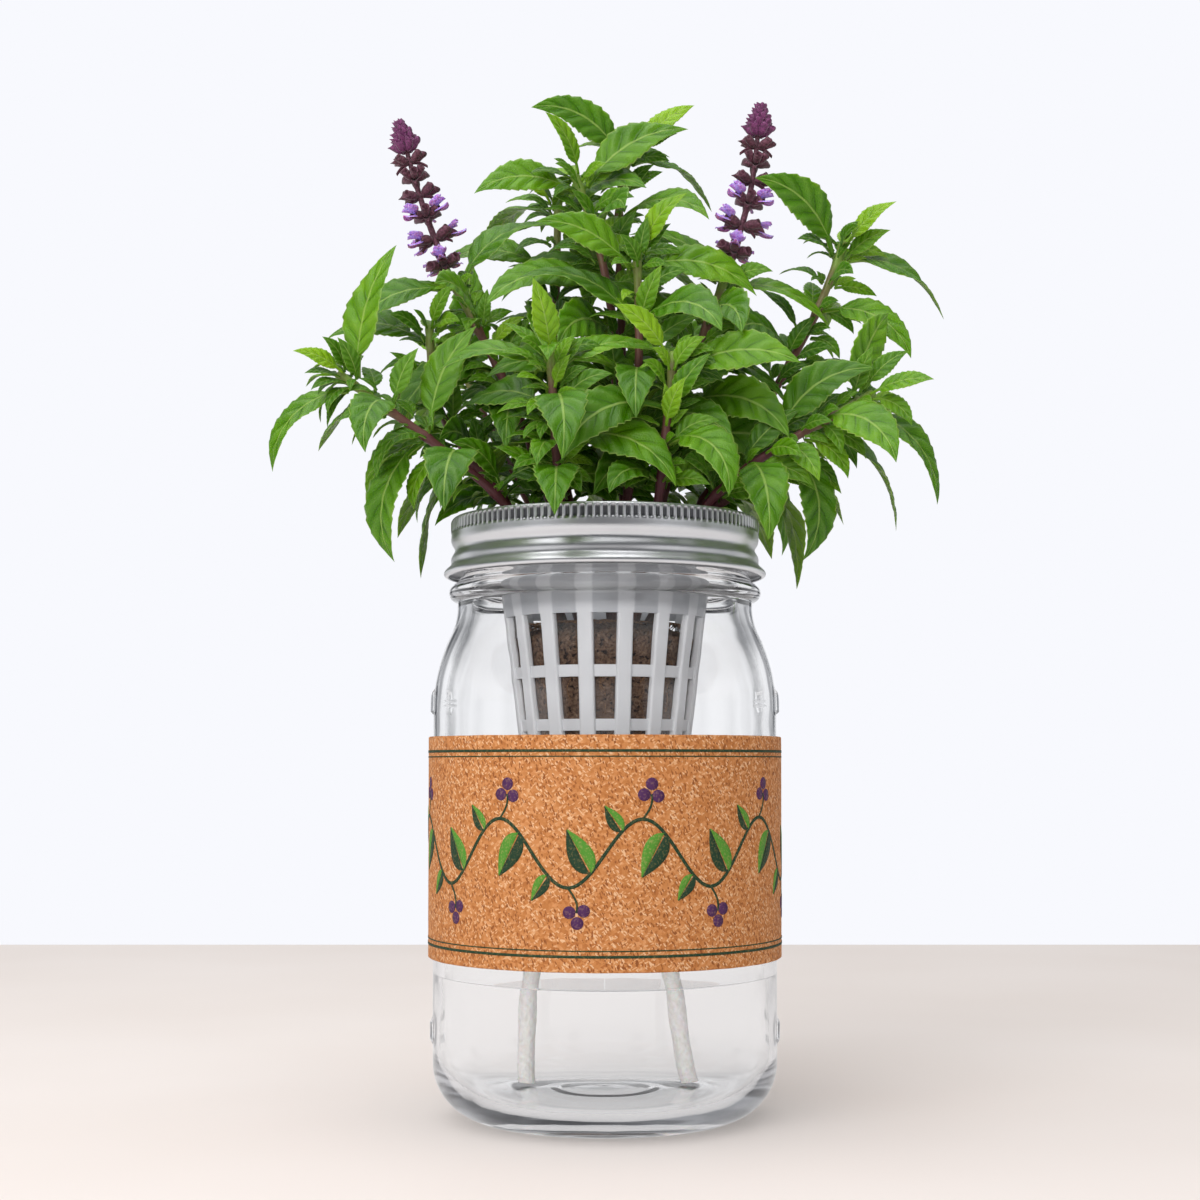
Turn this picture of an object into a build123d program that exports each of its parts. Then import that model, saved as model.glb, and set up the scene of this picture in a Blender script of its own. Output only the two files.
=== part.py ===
from build123d import *
import os
from math import acos, cos, degrees, hypot, pi, radians, sin, tan

import numpy as np

# Hydroponic jar planter: a glass canning jar with a cork sleeve, a net cup hung on its rim under a
# screw band, two wicks, and a basil plant in a coir plug. Millimetres, +Z up. The origin is the
# centre of the plane that the jar stands on, and -Y is the front.

# Glass jar
jar_radius = 49.0
jar_wall = 3.5
jar_height = 168.2
heel_radius = 16.0
foot_ring_width = 3.0
push_up = 3.0
floor_thickness = 5.5
floor_rise = 0.8
shoulder_height = 116.0
shoulder_arc = 48.0
neck_arc = 18.0
neck_radius = 42.2
mouth_radius = 38.2
bead_height = 149.1
bead_half_height = 2.5
bead_proud = 2.4
finish_radius = 40.4
finish_step = 15.6
rim_round = 0.8
thread_pitch = 5.08
thread_quarters = 5
thread_section = 1.0
thread_drop = 8.6
boss_width = 12.0
boss_height = 6.3
boss_corner = 2.0
boss_proud = 0.8
boss_root = 2.0
lower_boss_height = 25.0
upper_boss_height = 118.0

# Cork sleeve
sleeve_wall = 1.15
sleeve_clearance = 0.2
sleeve_bottom = 45.8
sleeve_height = 62.3
sleeve_seam = 0.4

# Net cup
cup_flange_radius = 41.0
cup_flange_thickness = 1.6
cup_mouth_gap = 3.7
cup_flare_height = 8.2
cup_wall = 1.5
cup_top_radius = 28.79
cup_top_drop = 26.7
cup_floor_radius = 20.55
cup_depth = 93.2
cup_floor_thickness = 2.2
rib_count = 16
rib_width = 4.3
rib_depth = 2.2
rib_corner = 0.7
ring_height = 3.2
ring_recess = 0.8
ring_pitch = 14.7
ring_count = 4
first_ring_drop = 42.3
drain_hole_radius = 2.0
drain_hole_circle = 8.5
drain_hole_count = 4

# Grow plug
plug_gap = 0.3
plug_drop = 30.8
plug_edge = 3.0
wick_bore_depth = 12.0
wick_bore_gap = 0.4

# Wicks, each a route of points from the plug's bore to the cut end near the jar's floor
wick_diameter = 5.0
wick_spread = 12.6
wick_left_route = ((-21.0, 1.0, 47.5), (-21.6, 0.0, 26.5), (-21.9, -1.2, 7.2))
wick_right_route = ((17.7, -1.2, 47.5), (20.4, -0.4, 26.5), (23.6, 0.8, 7.2))
wick_straight_drop = 6.5
wick_top_gap = 1.0
wick_lean = 0.1

# Screw band
band_sheet = 0.45
band_lift = 0.15
band_lip_radius = 38.4
band_radius = 44.0
band_skirt = 17.0
band_groove_depth = 1.0
band_groove_drop = 9.0
band_groove_half = 1.7
band_flange_out = 2.2
band_flange_height = 1.8
band_curl = 1.0
band_bend = 0.45
knurl_count = 160
knurl_radius = 0.4
knurl_top_drop = 0.7
knurl_height = 3.4

# Basil plant
stem_radius = 1.4
spike_stem_radius = 1.1
mouth_clearance = 2.0
leaf_length = 39.0
leaf_width = 13.4
leaf_thickness = 0.8
petiole_width = 1.8
petiole_share = 0.16
blade_handles = ((0.3, 0.8), (0.75, 0.5))
blade_swell = 0.75
blade_fullness = 0.9
leaf_seat_gap = 0.3
first_leaf_rise = 7.0
leaf_room = 2.3
leaf_grid_rows = 18
leaf_grid_start = 0.06
stem_mark_step = 2.0
stem_room = 1.7
band_room = 3.0
whorl_radius = 5.0
whorl_height = 4.4
whorl_outline = ((0.3, -0.5), (1, 0.17), (0.5, 0.5))
whorl_gap = 4.8
whorl_gap_growth = 1.13
whorl_count = 6
bud_radius = 3.4
bud_height = 9.5
bud_outline = ((1, 0.25), (0.8, 0.5))
light_direction = (0, -0.97, 0.24)
light_pull = 2.0
sag_share = 0.7
least_bend = radians(20)
least_spread = radians(22)
least_lean = radians(17.5)
crown_drop = 4.0

# How leaves change: at the lowest pair, up the stem, in the crown, then the sway from leaf to leaf
# with its step and its start. The first three are angles in degrees, the last a share of leaf_length.
leaf_spread = (78, -32, -16, 8, 3.1, pi / 2)
leaf_fall = (122, -30, -45, 16, 1.7, 0)
leaf_roll = (0, 0, 0, 14, 4.3, 0)
leaf_growth = (1, -0.1, -0.45, 0.1, 1.9, pi / 2)
leaf_turn_sway = (10, 2.4)

# What a leaf tries when its place is taken: a shorter blade, then a lift, then a swing in degrees
leaf_shrinks = (1, 0.85, 0.7)
leaf_lifts = (0, -14, 14, -28)
leaf_swings = (0, 14, -14, 28, -28, 42, -42)

# A rounded route's arcs start at this share of the shorter run from each corner
arc_share = 0.45

# Each stem leaves the plug at base and the cup at mouth, both a share of the opening there and a
# direction in degrees. Its bends are points (x, y, height over the cup's flange), pairs counts its
# leaf pairs, turn is the direction of the lowest pair round the stem, and spike is its flower spike.
stems = {
    "low_left": dict(
        base=(0.56, 214), mouth=(0.86, 208), pairs=5, turn=8,
        bends=((-46, -19, 19), (-74, -24, 38.5)),
    ),
    "flower_left": dict(
        base=(0.30, 157), mouth=(0.43, 168), pairs=6, turn=100,
        bends=((-27, 3, 38), (-46, 3, 74)),
        spike=((-53.5, 2.5, 94), (-60, 2, 117.5)),
    ),
    "front": dict(
        base=(0.59, 247), mouth=(0.74, 239), pairs=4, turn=95,
        bends=((-14, -27, 25), (-15, -29, 44)),
    ),
    "centre": dict(
        base=(0.14, 56), mouth=(0.12, 90), pairs=7, turn=15,
        bends=((4, 4, 50), (-1, 5, 80), (-9, 5, 103)),
    ),
    "centre_back": dict(
        base=(0.52, 63), mouth=(0.46, 67), pairs=7, turn=45,
        bends=((5, 15, 60), (4, 14, 98), (8, 13, 114)),
    ),
    "flower_right": dict(
        base=(0.33, 339), mouth=(0.50, 346), pairs=6, turn=100,
        bends=((21, -4, 35), (36, -3, 74)),
        spike=((42.5, -2.5, 96), (45, -2, 121)),
    ),
    "right": dict(
        base=(0.59, 23), mouth=(0.78, 18), pairs=6, turn=105,
        bends=((46, 8, 33), (62, 7, 62), (70, 6, 83)),
    ),
    "low_right": dict(
        base=(0.58, 323), mouth=(0.88, 333), pairs=5, turn=-8,
        bends=((44, -16, 17), (75, -18, 34)),
    ),
    "tall_back": dict(
        base=(0.55, 115), mouth=(0.65, 118), pairs=6, turn=35,
        bends=((-15, 22, 45), (-14, 22, 100)),
    ),
    "left": dict(
        base=(0.59, 172), mouth=(0.76, 175), pairs=5, turn=10,
        bends=((-40, 2, 20), (-50, 3, 36), (-51, 4, 58)),
    ),
    "short_right": dict(
        base=(0.59, 352), mouth=(0.85, 354), pairs=3, turn=80,
        bends=((42, -4, 11), (53, -4, 18)),
    ),
    "inner": dict(
        base=(0.33, 291), mouth=(0.35, 301), pairs=5, turn=45,
        bends=((10, -11, 45), (9, -12, 76)),
    ),
    "front_right": dict(
        base=(0.62, 300), mouth=(0.78, 305), pairs=4, turn=45,
        bends=((17, -25, 25), (19, -26, 44)),
    ),
    "back_right": dict(
        base=(0.66, 83), mouth=(0.80, 81), pairs=4, turn=30,
        bends=((9, 42, 30), (14, 55, 60)),
    ),
    "back_left": dict(
        base=(0.66, 135), mouth=(0.84, 132), pairs=4, turn=55,
        bends=((-32, 36, 26), (-44, 48, 54)),
    ),
}

# Places that follow from those sizes
rim_plane = jar_height
flange_top = rim_plane + cup_flange_thickness
cup_floor = rim_plane - cup_depth
cup_top = rim_plane - cup_top_drop
cup_slope = (cup_top_radius - cup_floor_radius) / (cup_top - cup_floor)
cup_flare_radius = mouth_radius - cup_mouth_gap
cup_opening = cup_flare_radius - cup_wall
plug_top = rim_plane - plug_drop
plug_bottom = cup_floor + cup_floor_thickness + plug_gap
wick_radius = wick_diameter / 2


def cup_radius(height):
    """The net cup's outer radius on its tapered wall."""
    return cup_floor_radius + cup_slope * (height - cup_floor)


def plug_radius(height):
    """The plug's radius inside the cup's ribs."""
    return cup_radius(height) - rib_depth - plug_gap


os.makedirs("parts", exist_ok=True)


def keep(piece, name):
    """Label a finished piece and write its file."""
    piece.label = name
    export_step(piece, f"parts/{name}.step")


# Glass jar: a turned wall with a pushed-up base, an S-shaped shoulder, a bead below the thread
# and a rounded rim. Four low pads stand on its sides, above and below the sleeve.
inner_radius = jar_radius - jar_wall
heel_start = jar_radius - heel_radius
foot_inner = heel_start - foot_ring_width
inner_heel = heel_radius - jar_wall
inner_shoulder_arc = shoulder_arc - jar_wall
shoulder_turn = acos(1 - (jar_radius - neck_radius) / (shoulder_arc + neck_arc))
inner_shoulder_span = (inner_radius - mouth_radius) / (1 - cos(shoulder_turn))
inner_neck_arc = inner_shoulder_span - inner_shoulder_arc
inner_neck_height = shoulder_height + inner_shoulder_span * sin(shoulder_turn)
finish_bottom = jar_height - finish_step
thread_start = jar_height - thread_drop

with BuildPart() as jar:
    with BuildSketch(Plane.XZ):
        with BuildLine():
            dome = TangentArc((0, push_up), (foot_inner, 0), tangent=(1, 0))
            foot = Line(dome @ 1, (heel_start, 0))
            heel = TangentArc(foot @ 1, (jar_radius, heel_radius), tangent=(1, 0))
            side = Line(heel @ 1, (jar_radius, shoulder_height))
            shoulder = JernArc(side @ 1, (0, 1), shoulder_arc, degrees(shoulder_turn))
            hollow = JernArc(shoulder @ 1, shoulder % 1, neck_arc, -degrees(shoulder_turn))
            neck = Line(hollow @ 1, (neck_radius, bead_height - bead_half_height))
            bead = ThreePointArc(
                neck @ 1,
                (neck_radius + bead_proud, bead_height),
                (neck_radius, bead_height + bead_half_height),
            )
            finish = Polyline(
                bead @ 1,
                (neck_radius, finish_bottom),
                (finish_radius, finish_bottom + neck_radius - finish_radius),
                (finish_radius, jar_height - rim_round),
            )
            rim_out = TangentArc(finish @ 1, (finish_radius - rim_round, jar_height), tangent=(0, 1))
            rim = Line(rim_out @ 1, (mouth_radius + rim_round, jar_height))
            rim_in = TangentArc(rim @ 1, (mouth_radius, jar_height - rim_round), tangent=(-1, 0))
            mouth = Line(rim_in @ 1, (mouth_radius, inner_neck_height))
            inner_hollow = JernArc(mouth @ 1, (0, -1), inner_neck_arc, degrees(shoulder_turn))
            inner_shoulder = JernArc(
                inner_hollow @ 1, inner_hollow % 1, inner_shoulder_arc, -degrees(shoulder_turn)
            )
            inner_side = Line(inner_shoulder @ 1, (inner_radius, floor_thickness + inner_heel))
            inner_corner = TangentArc(
                inner_side @ 1, (inner_radius - inner_heel, floor_thickness), tangent=(0, -1)
            )
            inside = TangentArc((0, floor_thickness + floor_rise), inner_corner @ 1, tangent=(1, 0))
            Line(inside @ 0, dome @ 0)
        make_face()
    revolve(axis=Axis.Z)
    with BuildLine() as thread_line:
        for quarter in range(thread_quarters):
            arc_points = []
            for share in (0, 0.5, 1):
                angle = (quarter + share) * pi / 2
                rise = thread_start - thread_pitch * angle / (2 * pi)
                arc_points.append((finish_radius * cos(angle), finish_radius * sin(angle), rise))
            ThreePointArc(*arc_points)
    thread_wire = thread_line.wires()[0]
    with BuildSketch(Plane(origin=thread_wire @ 0, z_dir=thread_wire % 0)):
        Circle(thread_section)
    sweep(path=thread_wire)
    for side_sign in (1, -1):
        for boss_level in (lower_boss_height, upper_boss_height):
            with BuildSketch(
                Plane(
                    origin=(side_sign * (jar_radius - boss_root), 0, boss_level),
                    x_dir=(0, side_sign, 0),
                    z_dir=(side_sign, 0, 0),
                )
            ):
                RectangleRounded(boss_width, boss_height, boss_corner)
    extrude(amount=boss_root + boss_proud)
keep(jar.part, "jar")

# Cork sleeve: a thin sheet wrapped round the jar, with its butt seam at the back
sleeve_inner = jar_radius + sleeve_clearance
with BuildPart() as cork_sleeve:
    with BuildSketch(Plane.XY.offset(sleeve_bottom)):
        Circle(sleeve_inner + sleeve_wall)
        Circle(sleeve_inner, mode=Mode.SUBTRACT)
        with Locations((0, sleeve_inner + sleeve_wall / 2)):
            Rectangle(sleeve_seam, 4 * sleeve_wall, mode=Mode.SUBTRACT)
    extrude(amount=sleeve_height)
keep(cork_sleeve.part, "cork_sleeve")

# Net cup: a flange on the jar's rim, a short closed collar, then sixteen ribs tied by recessed
# rings down to a floor with two wick holes and four drain holes
flare_height = rim_plane - cup_flare_height
rib_bottom = cup_floor + cup_floor_thickness / 4
rib_top = cup_top + cup_wall / 2
rib_length = hypot(rib_top - rib_bottom, cup_slope * (rib_top - rib_bottom))
wick_hole_radius = wick_radius + wick_bore_gap

with BuildPart() as net_cup:
    with BuildSketch(Plane.XZ):
        with BuildLine():
            Polyline(
                (cup_flange_radius, rim_plane),
                (cup_flange_radius, flange_top),
                (cup_opening, flange_top),
                (cup_radius(flare_height) - cup_wall, flare_height),
                (cup_top_radius - cup_wall, cup_top),
                (cup_top_radius, cup_top),
                (cup_radius(flare_height), flare_height),
                (cup_flare_radius, rim_plane),
                close=True,
            )
        make_face()
        for ring in range(ring_count):
            ring_top = rim_plane - first_ring_drop - ring * ring_pitch + ring_height / 2
            ring_bottom = ring_top - ring_height
            with BuildLine():
                Polyline(
                    (cup_radius(ring_top) - ring_recess, ring_top),
                    (cup_radius(ring_bottom) - ring_recess, ring_bottom),
                    (cup_radius(ring_bottom) - rib_depth, ring_bottom),
                    (cup_radius(ring_top) - rib_depth, ring_top),
                    close=True,
                )
            make_face()
    revolve(axis=Axis.Z)
    for rib in range(rib_count):
        rib_angle = radians((rib + 0.5) * 360 / rib_count - 90)
        outward = Vector(cos(rib_angle), sin(rib_angle), 0)
        rib_foot = outward * (cup_radius(rib_bottom) - rib_depth / 2) + Vector(0, 0, rib_bottom)
        with BuildSketch(
            Plane(
                origin=rib_foot,
                x_dir=outward - Vector(0, 0, cup_slope),
                z_dir=outward * cup_slope + Vector(0, 0, 1),
            )
        ):
            RectangleRounded(rib_depth, rib_width, rib_corner)
    extrude(amount=rib_length)
    with BuildSketch(Plane.XY.offset(cup_floor)):
        Circle(cup_floor_radius)
        with Locations((-wick_spread, 0), (wick_spread, 0)):
            Circle(wick_hole_radius, mode=Mode.SUBTRACT)
        with PolarLocations(drain_hole_circle, drain_hole_count, start_angle=45):
            Circle(drain_hole_radius, mode=Mode.SUBTRACT)
    extrude(amount=cup_floor_thickness)
keep(net_cup.part, "net_cup")

# Grow plug: a pressed coir cone inside the ribs, bored from below for the two wicks
with BuildPart() as grow_plug:
    with BuildSketch(Plane.XZ):
        with BuildLine():
            Polyline(
                (0, plug_bottom),
                (plug_radius(plug_bottom), plug_bottom),
                (plug_radius(plug_top), plug_top),
                (0, plug_top),
                close=True,
            )
        make_face()
    revolve(axis=Axis.Z)
    fillet(grow_plug.edges().group_by(Axis.Z)[-1], radius=plug_edge)
    with BuildSketch(Plane.XY.offset(plug_bottom)):
        with Locations((-wick_spread, 0), (wick_spread, 0)):
            Circle(wick_hole_radius)
    extrude(amount=wick_bore_depth, mode=Mode.SUBTRACT)
keep(grow_plug.part, "grow_plug")


def bend_radii(points):
    """A tangent arc's radius at each inner point of a route."""
    radii = []
    for before, corner, after in zip(points, points[1:], points[2:]):
        run_in = Vector(*corner) - Vector(*before)
        run_out = Vector(*after) - Vector(*corner)
        half_turn = radians(run_in.get_angle(run_out)) / 2
        radii.append(arc_share * min(run_in.length, run_out.length) / tan(half_turn))
    return radii


# Wicks: limp cotton cords, straight through the cup's floor and then hanging to the jar's floor
for wick_name, side_sign, route in (
    ("wick_left", -1, wick_left_route),
    ("wick_right", 1, wick_right_route),
):
    wick_points = [
        (side_sign * wick_spread, 0, plug_bottom + wick_bore_depth - wick_top_gap),
        (side_sign * (wick_spread + wick_lean), 0, cup_floor - wick_straight_drop),
        *route,
    ]
    wick_radii = bend_radii(wick_points)
    with BuildPart() as wick:
        with BuildLine() as wick_line:
            FilletPolyline(*wick_points, radius=wick_radii)
        wick_wire = wick_line.wires()[0]
        with BuildSketch(Plane(origin=wick_wire @ 0, z_dir=wick_wire % 0)):
            Circle(wick_radius)
        sweep(path=wick_wire)
    tube_volume = pi * wick_radius**2 * wick_wire.length
    print(wick_name, "length", round(wick_wire.length, 1), "radii", [round(r, 1) for r in wick_radii])
    print(wick_name, "volume over section times length", round(wick.part.volume / tube_volume, 4))
    keep(wick.part, wick_name)

# Screw band: one thin pressed sheet, with a lip over the cup's flange, a knurled edge, a rolled
# thread groove and a flared, curled skirt
sheet_middle = band_radius - band_sheet / 2
lip_height = flange_top + band_lift + band_sheet / 2
band_bottom = lip_height + band_sheet / 2 - band_skirt
groove_height = lip_height - band_groove_drop
with BuildPart() as screw_band:
    with BuildSketch(Plane.XZ):
        with BuildLine():
            FilletPolyline(
                (band_lip_radius, lip_height),
                (sheet_middle, lip_height),
                (sheet_middle, groove_height + band_groove_half),
                (sheet_middle - band_groove_depth, groove_height),
                (sheet_middle, groove_height - band_groove_half),
                (sheet_middle, band_bottom + 2 * band_flange_height),
                (sheet_middle + band_flange_out, band_bottom + band_flange_height),
                (sheet_middle + band_flange_out, band_bottom),
                (sheet_middle + band_flange_out - band_curl, band_bottom),
                radius=band_bend,
            )
        trace(line_width=band_sheet)
    revolve(axis=Axis.Z)
    knurl_bottom = flange_top + band_lift + band_sheet - knurl_top_drop - knurl_height
    with BuildSketch(Plane.XY.offset(knurl_bottom)):
        with PolarLocations(band_radius - band_sheet / 4, knurl_count):
            Circle(knurl_radius)
        Circle(band_radius - band_sheet, mode=Mode.SUBTRACT)
    extrude(amount=knurl_height)
keep(screw_band.part, "screw_band")


# Plant: each stem is straight runs joined by tangent arcs, and its leaves stand on it in crossed pairs
def unit(vector):
    """A vector's direction."""
    return vector / np.linalg.norm(vector)


def polar_point(share, angle, opening, height):
    """A point at a share of an opening's radius, in a direction in degrees."""
    reach = share * opening
    return np.array((reach * cos(radians(angle)), reach * sin(radians(angle)), height))


def stem_points(stem):
    """The points of a stem from the plug's top to its last leaf pair."""
    base = polar_point(*stem["base"], plug_radius(plug_top), plug_top)
    mouth = polar_point(*stem["mouth"], cup_opening, flange_top + mouth_clearance)
    lean = unit(mouth - base)
    base[2] += leaf_seat_gap + stem_radius * np.hypot(lean[0], lean[1])
    return [base, mouth, *[np.array(bend) + (0, 0, flange_top) for bend in stem["bends"]]]


def route_pieces(points):
    """A rounded route's runs and arcs: start, direction, direction of turn, bend per length, length."""
    pieces = []
    start = points[0]
    straight = np.zeros(3)
    for before, corner, after in zip(points, points[1:], points[2:]):
        run_in = unit(corner - before)
        run_out = unit(after - corner)
        cut = arc_share * min(np.linalg.norm(corner - before), np.linalg.norm(after - corner))
        turn = acos(run_in @ run_out)
        arc_start = corner - cut * run_in
        pieces.append((start, run_in, straight, 0.0, np.linalg.norm(arc_start - start)))
        inward = unit(run_out - (run_out @ run_in) * run_in)
        bend = tan(turn / 2) / cut
        pieces.append((arc_start, run_in, inward, bend, turn / bend))
        start = corner + cut * run_out
    end = points[-1]
    pieces.append((start, unit(end - start), straight, 0.0, np.linalg.norm(end - start)))
    return pieces


def route_length(pieces):
    """The length of a rounded route."""
    return sum(piece[4] for piece in pieces)


def along(pieces, distance):
    """The point and the direction at a distance along a rounded route."""
    for start, run, inward, bend, length in pieces:
        if distance <= length:
            break
        distance -= length
    turn = bend * distance
    if turn == 0:
        return start + distance * run, run
    point = start + (sin(turn) * run + (1 - cos(turn)) * inward) / bend
    return point, cos(turn) * run + sin(turn) * inward


def half_width(share, width):
    """Half a leaf's width at a share of its length: a narrow petiole and an ovate blade."""
    if share <= petiole_share:
        return petiole_width / 2
    blade = (share - petiole_share) / (1 - petiole_share)
    ovate = sin(pi * blade**blade_swell) ** blade_fullness
    return max(petiole_width / 2 * (1 - blade), width / 2 * ovate)


def leaf_shape(place, direction, turn, spread, roll, fall, length):
    """A leaf on a stem: its foot, first direction, upper side, bend away from that side, sag along
    its own plane, and length. It faces the light, and its weight bends it down."""
    sideways = unit(np.array((-direction[2], 0, direction[0])))
    toward = np.cross(direction, sideways)
    outward = cos(turn) * sideways + sin(turn) * toward
    run = unit(cos(spread) * direction + sin(spread) * outward)
    level = np.cross(run, (0, 0, 1))
    if np.linalg.norm(level) < sin(least_lean):
        level = np.cross(outward, (0, 0, 1))
    level = unit(level - (level @ run) * run)
    upper = np.cross(level, run)
    light = np.array(light_direction)
    upper = unit(upper + light_pull * (light - (light @ run) * run))
    upper = cos(roll) * upper + sin(roll) * np.cross(run, upper)
    down = unit(np.array((0, 0, -1)) + run[2] * run)
    bend = max(least_bend, -fall * (down @ upper))
    sag = sag_share * fall * (down @ np.cross(upper, run))
    foot = place + outward * (stem_radius + leaf_seat_gap + petiole_width / 2 * cos(spread))
    return foot, run, upper, bend, sag, length


def flat_point(shape, share, aside):
    """A point of a leaf laid flat: at a share of its length and a distance aside from its midrib."""
    _, _, _, _, sag, length = shape
    turn = sag * share
    middle = length * share * np.array((np.sinc(turn / pi), np.sinc(turn / 2 / pi) * sin(turn / 2)))
    return middle + aside * np.array((-sin(turn), cos(turn)))


def leaf_grid(shape):
    """Points on a leaf's blade, for keeping leaves apart."""
    foot, run, upper, bend, _, length = shape
    across = np.cross(upper, run)
    width = leaf_width * length / leaf_length
    points = []
    for share in np.linspace(leaf_grid_start, 1, leaf_grid_rows):
        reach = half_width(share, width)
        for side in (-1, -0.5, 0, 0.5, 1):
            ahead, aside = flat_point(shape, share, side * reach)
            turn = bend * ahead / length
            curl = (sin(turn) * run - (1 - cos(turn)) * upper) * length / bend
            points.append(foot + curl + aside * across)
    return np.array(points)


def clear_of(grid, others, room):
    """Whether a leaf's points keep a distance from other points."""
    inside = (others > grid.min(axis=0) - room) & (others < grid.max(axis=0) + room)
    near = others[inside.all(axis=1)]
    if len(near) == 0:
        return True
    gaps = np.linalg.norm(grid[:, None, :] - near[None, :, :], axis=2)
    return gaps.min() > room


def above_band(grid):
    """Whether a leaf stays over the screw band or hangs outside it."""
    reach = np.hypot(grid[:, 0], grid[:, 1])
    low = grid[:, 2] < lip_height + band_room
    return not np.any(low & (reach < sheet_middle + band_flange_out + band_room))


def stem_marks(name, pieces):
    """Points along a stem and round its flower spike, which leaves keep away from."""
    total = route_length(pieces)
    marks = [along(pieces, step)[0] for step in np.linspace(0, total, int(total / stem_mark_step))]
    spike = stems[name].get("spike", ())
    if spike:
        spike_points = [np.array(point) + (0, 0, flange_top) for point in spike]
        spike_pieces = route_pieces([marks[-1], *spike_points])
        for step in np.arange(whorl_radius, route_length(spike_pieces), stem_mark_step):
            centre, _ = along(spike_pieces, step)
            for angle in np.arange(0, 2 * pi, pi / 4):
                marks.append(centre + whorl_radius * np.array((cos(angle), sin(angle), 0)))
    return np.array(marks)


def grown(rule, rise, crown, count):
    """What a leaf's rule gives at its place on the stem."""
    lowest, up_stem, in_crown, sway, step, start = rule
    return lowest + up_stem * rise + in_crown * crown + sway * sin(step * count + start)


def leaf_trials(place, direction, turn, rise, crown, count):
    """A leaf as it would grow, then turned, raised and shortened a little more each time."""
    spread = radians(grown(leaf_spread, rise, crown, count))
    fall = radians(grown(leaf_fall, rise, crown, count))
    roll = radians(grown(leaf_roll, rise, crown, count))
    length = leaf_length * grown(leaf_growth, rise, crown, count)
    for shrink in leaf_shrinks:
        for lift in leaf_lifts:
            for swing in leaf_swings:
                turned = turn + radians(swing)
                raised = max(least_spread, spread + radians(lift))
                yield leaf_shape(place, direction, turned, raised, roll, fall, length * shrink)


def grow_leaves():
    """Every stem's leaves, each in the first of its trial places that has room."""
    routes = {name: route_pieces(stem_points(stem)) for name, stem in stems.items()}
    marks = {name: stem_marks(name, pieces) for name, pieces in routes.items()}
    leaves = {name: [] for name in stems}
    sway, sway_step = leaf_turn_sway
    taken = np.zeros((0, 3))
    count = 0
    for name, stem in stems.items():
        points = stem_points(stem)
        lowest = np.linalg.norm(points[1] - points[0]) + first_leaf_rise
        highest = route_length(routes[name]) - stem_radius
        crowned = "spike" not in stem
        if not crowned:
            highest -= whorl_radius
        other_stems = np.concatenate([marks[other] for other in stems if other != name])
        for pair in range(stem["pairs"] + crowned):
            crown = pair == stem["pairs"]
            rise = min(1, pair / (stem["pairs"] - 1))
            reach = lowest + rise * (highest - crown_drop * (crowned - crown) - lowest)
            place, direction = along(routes[name], reach)
            for side in (0, 1):
                count += 1
                turn = radians(stem["turn"] + 90 * pair + 180 * side + sway * sin(sway_step * count))
                for shape in leaf_trials(place, direction, turn, rise, crown, count):
                    grid = leaf_grid(shape)
                    if (
                        above_band(grid)
                        and clear_of(grid, taken, leaf_room)
                        and clear_of(grid, other_stems, stem_radius + stem_room)
                        and clear_of(grid[len(grid) // 3 :], marks[name], stem_radius + stem_room)
                    ):
                        leaves[name].append(shape)
                        taken = np.concatenate((taken, grid))
                        break
    return leaves


def leaf_solid(shape):
    """A leaf as a drooping strip of even thickness, cut to its ovate outline."""
    foot, run, upper, bend, sag, length = shape
    width = leaf_width * length / leaf_length
    across = np.cross(upper, run)
    arc_radius = length / bend
    chord = 2 * arc_radius * sin(bend / 2)
    chord_run = cos(bend / 2) * run - sin(bend / 2) * upper
    chord_up = sin(bend / 2) * run + cos(bend / 2) * upper

    def outline_point(share, aside):
        ahead, sideways = flat_point(shape, share, aside)
        return ahead * chord / length, sideways

    with BuildPart() as blade:
        with BuildSketch(Plane(origin=tuple(foot), x_dir=tuple(run), z_dir=tuple(-across))):
            with BuildLine():
                JernArc((0, 0), (1, 0), arc_radius, -degrees(bend))
            trace(line_width=leaf_thickness)
        extrude(amount=width + length * abs(sag), both=True)
        below = foot - chord_up * length
        with BuildSketch(Plane(origin=tuple(below), x_dir=tuple(chord_run), z_dir=tuple(chord_up))):
            with BuildLine():
                for edge in (1, -1):
                    petiole = Line(
                        (-leaf_thickness, edge * petiole_width / 2),
                        outline_point(petiole_share, edge * petiole_width / 2),
                    )
                    handles = [
                        outline_point(share, edge * wide * width) for share, wide in blade_handles
                    ]
                    Bezier(petiole @ 1, *handles, outline_point(1, 0))
                Line((-leaf_thickness, petiole_width / 2), (-leaf_thickness, -petiole_width / 2))
            make_face()
        extrude(amount=2 * length, mode=Mode.INTERSECT)
    return blade.part


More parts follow.
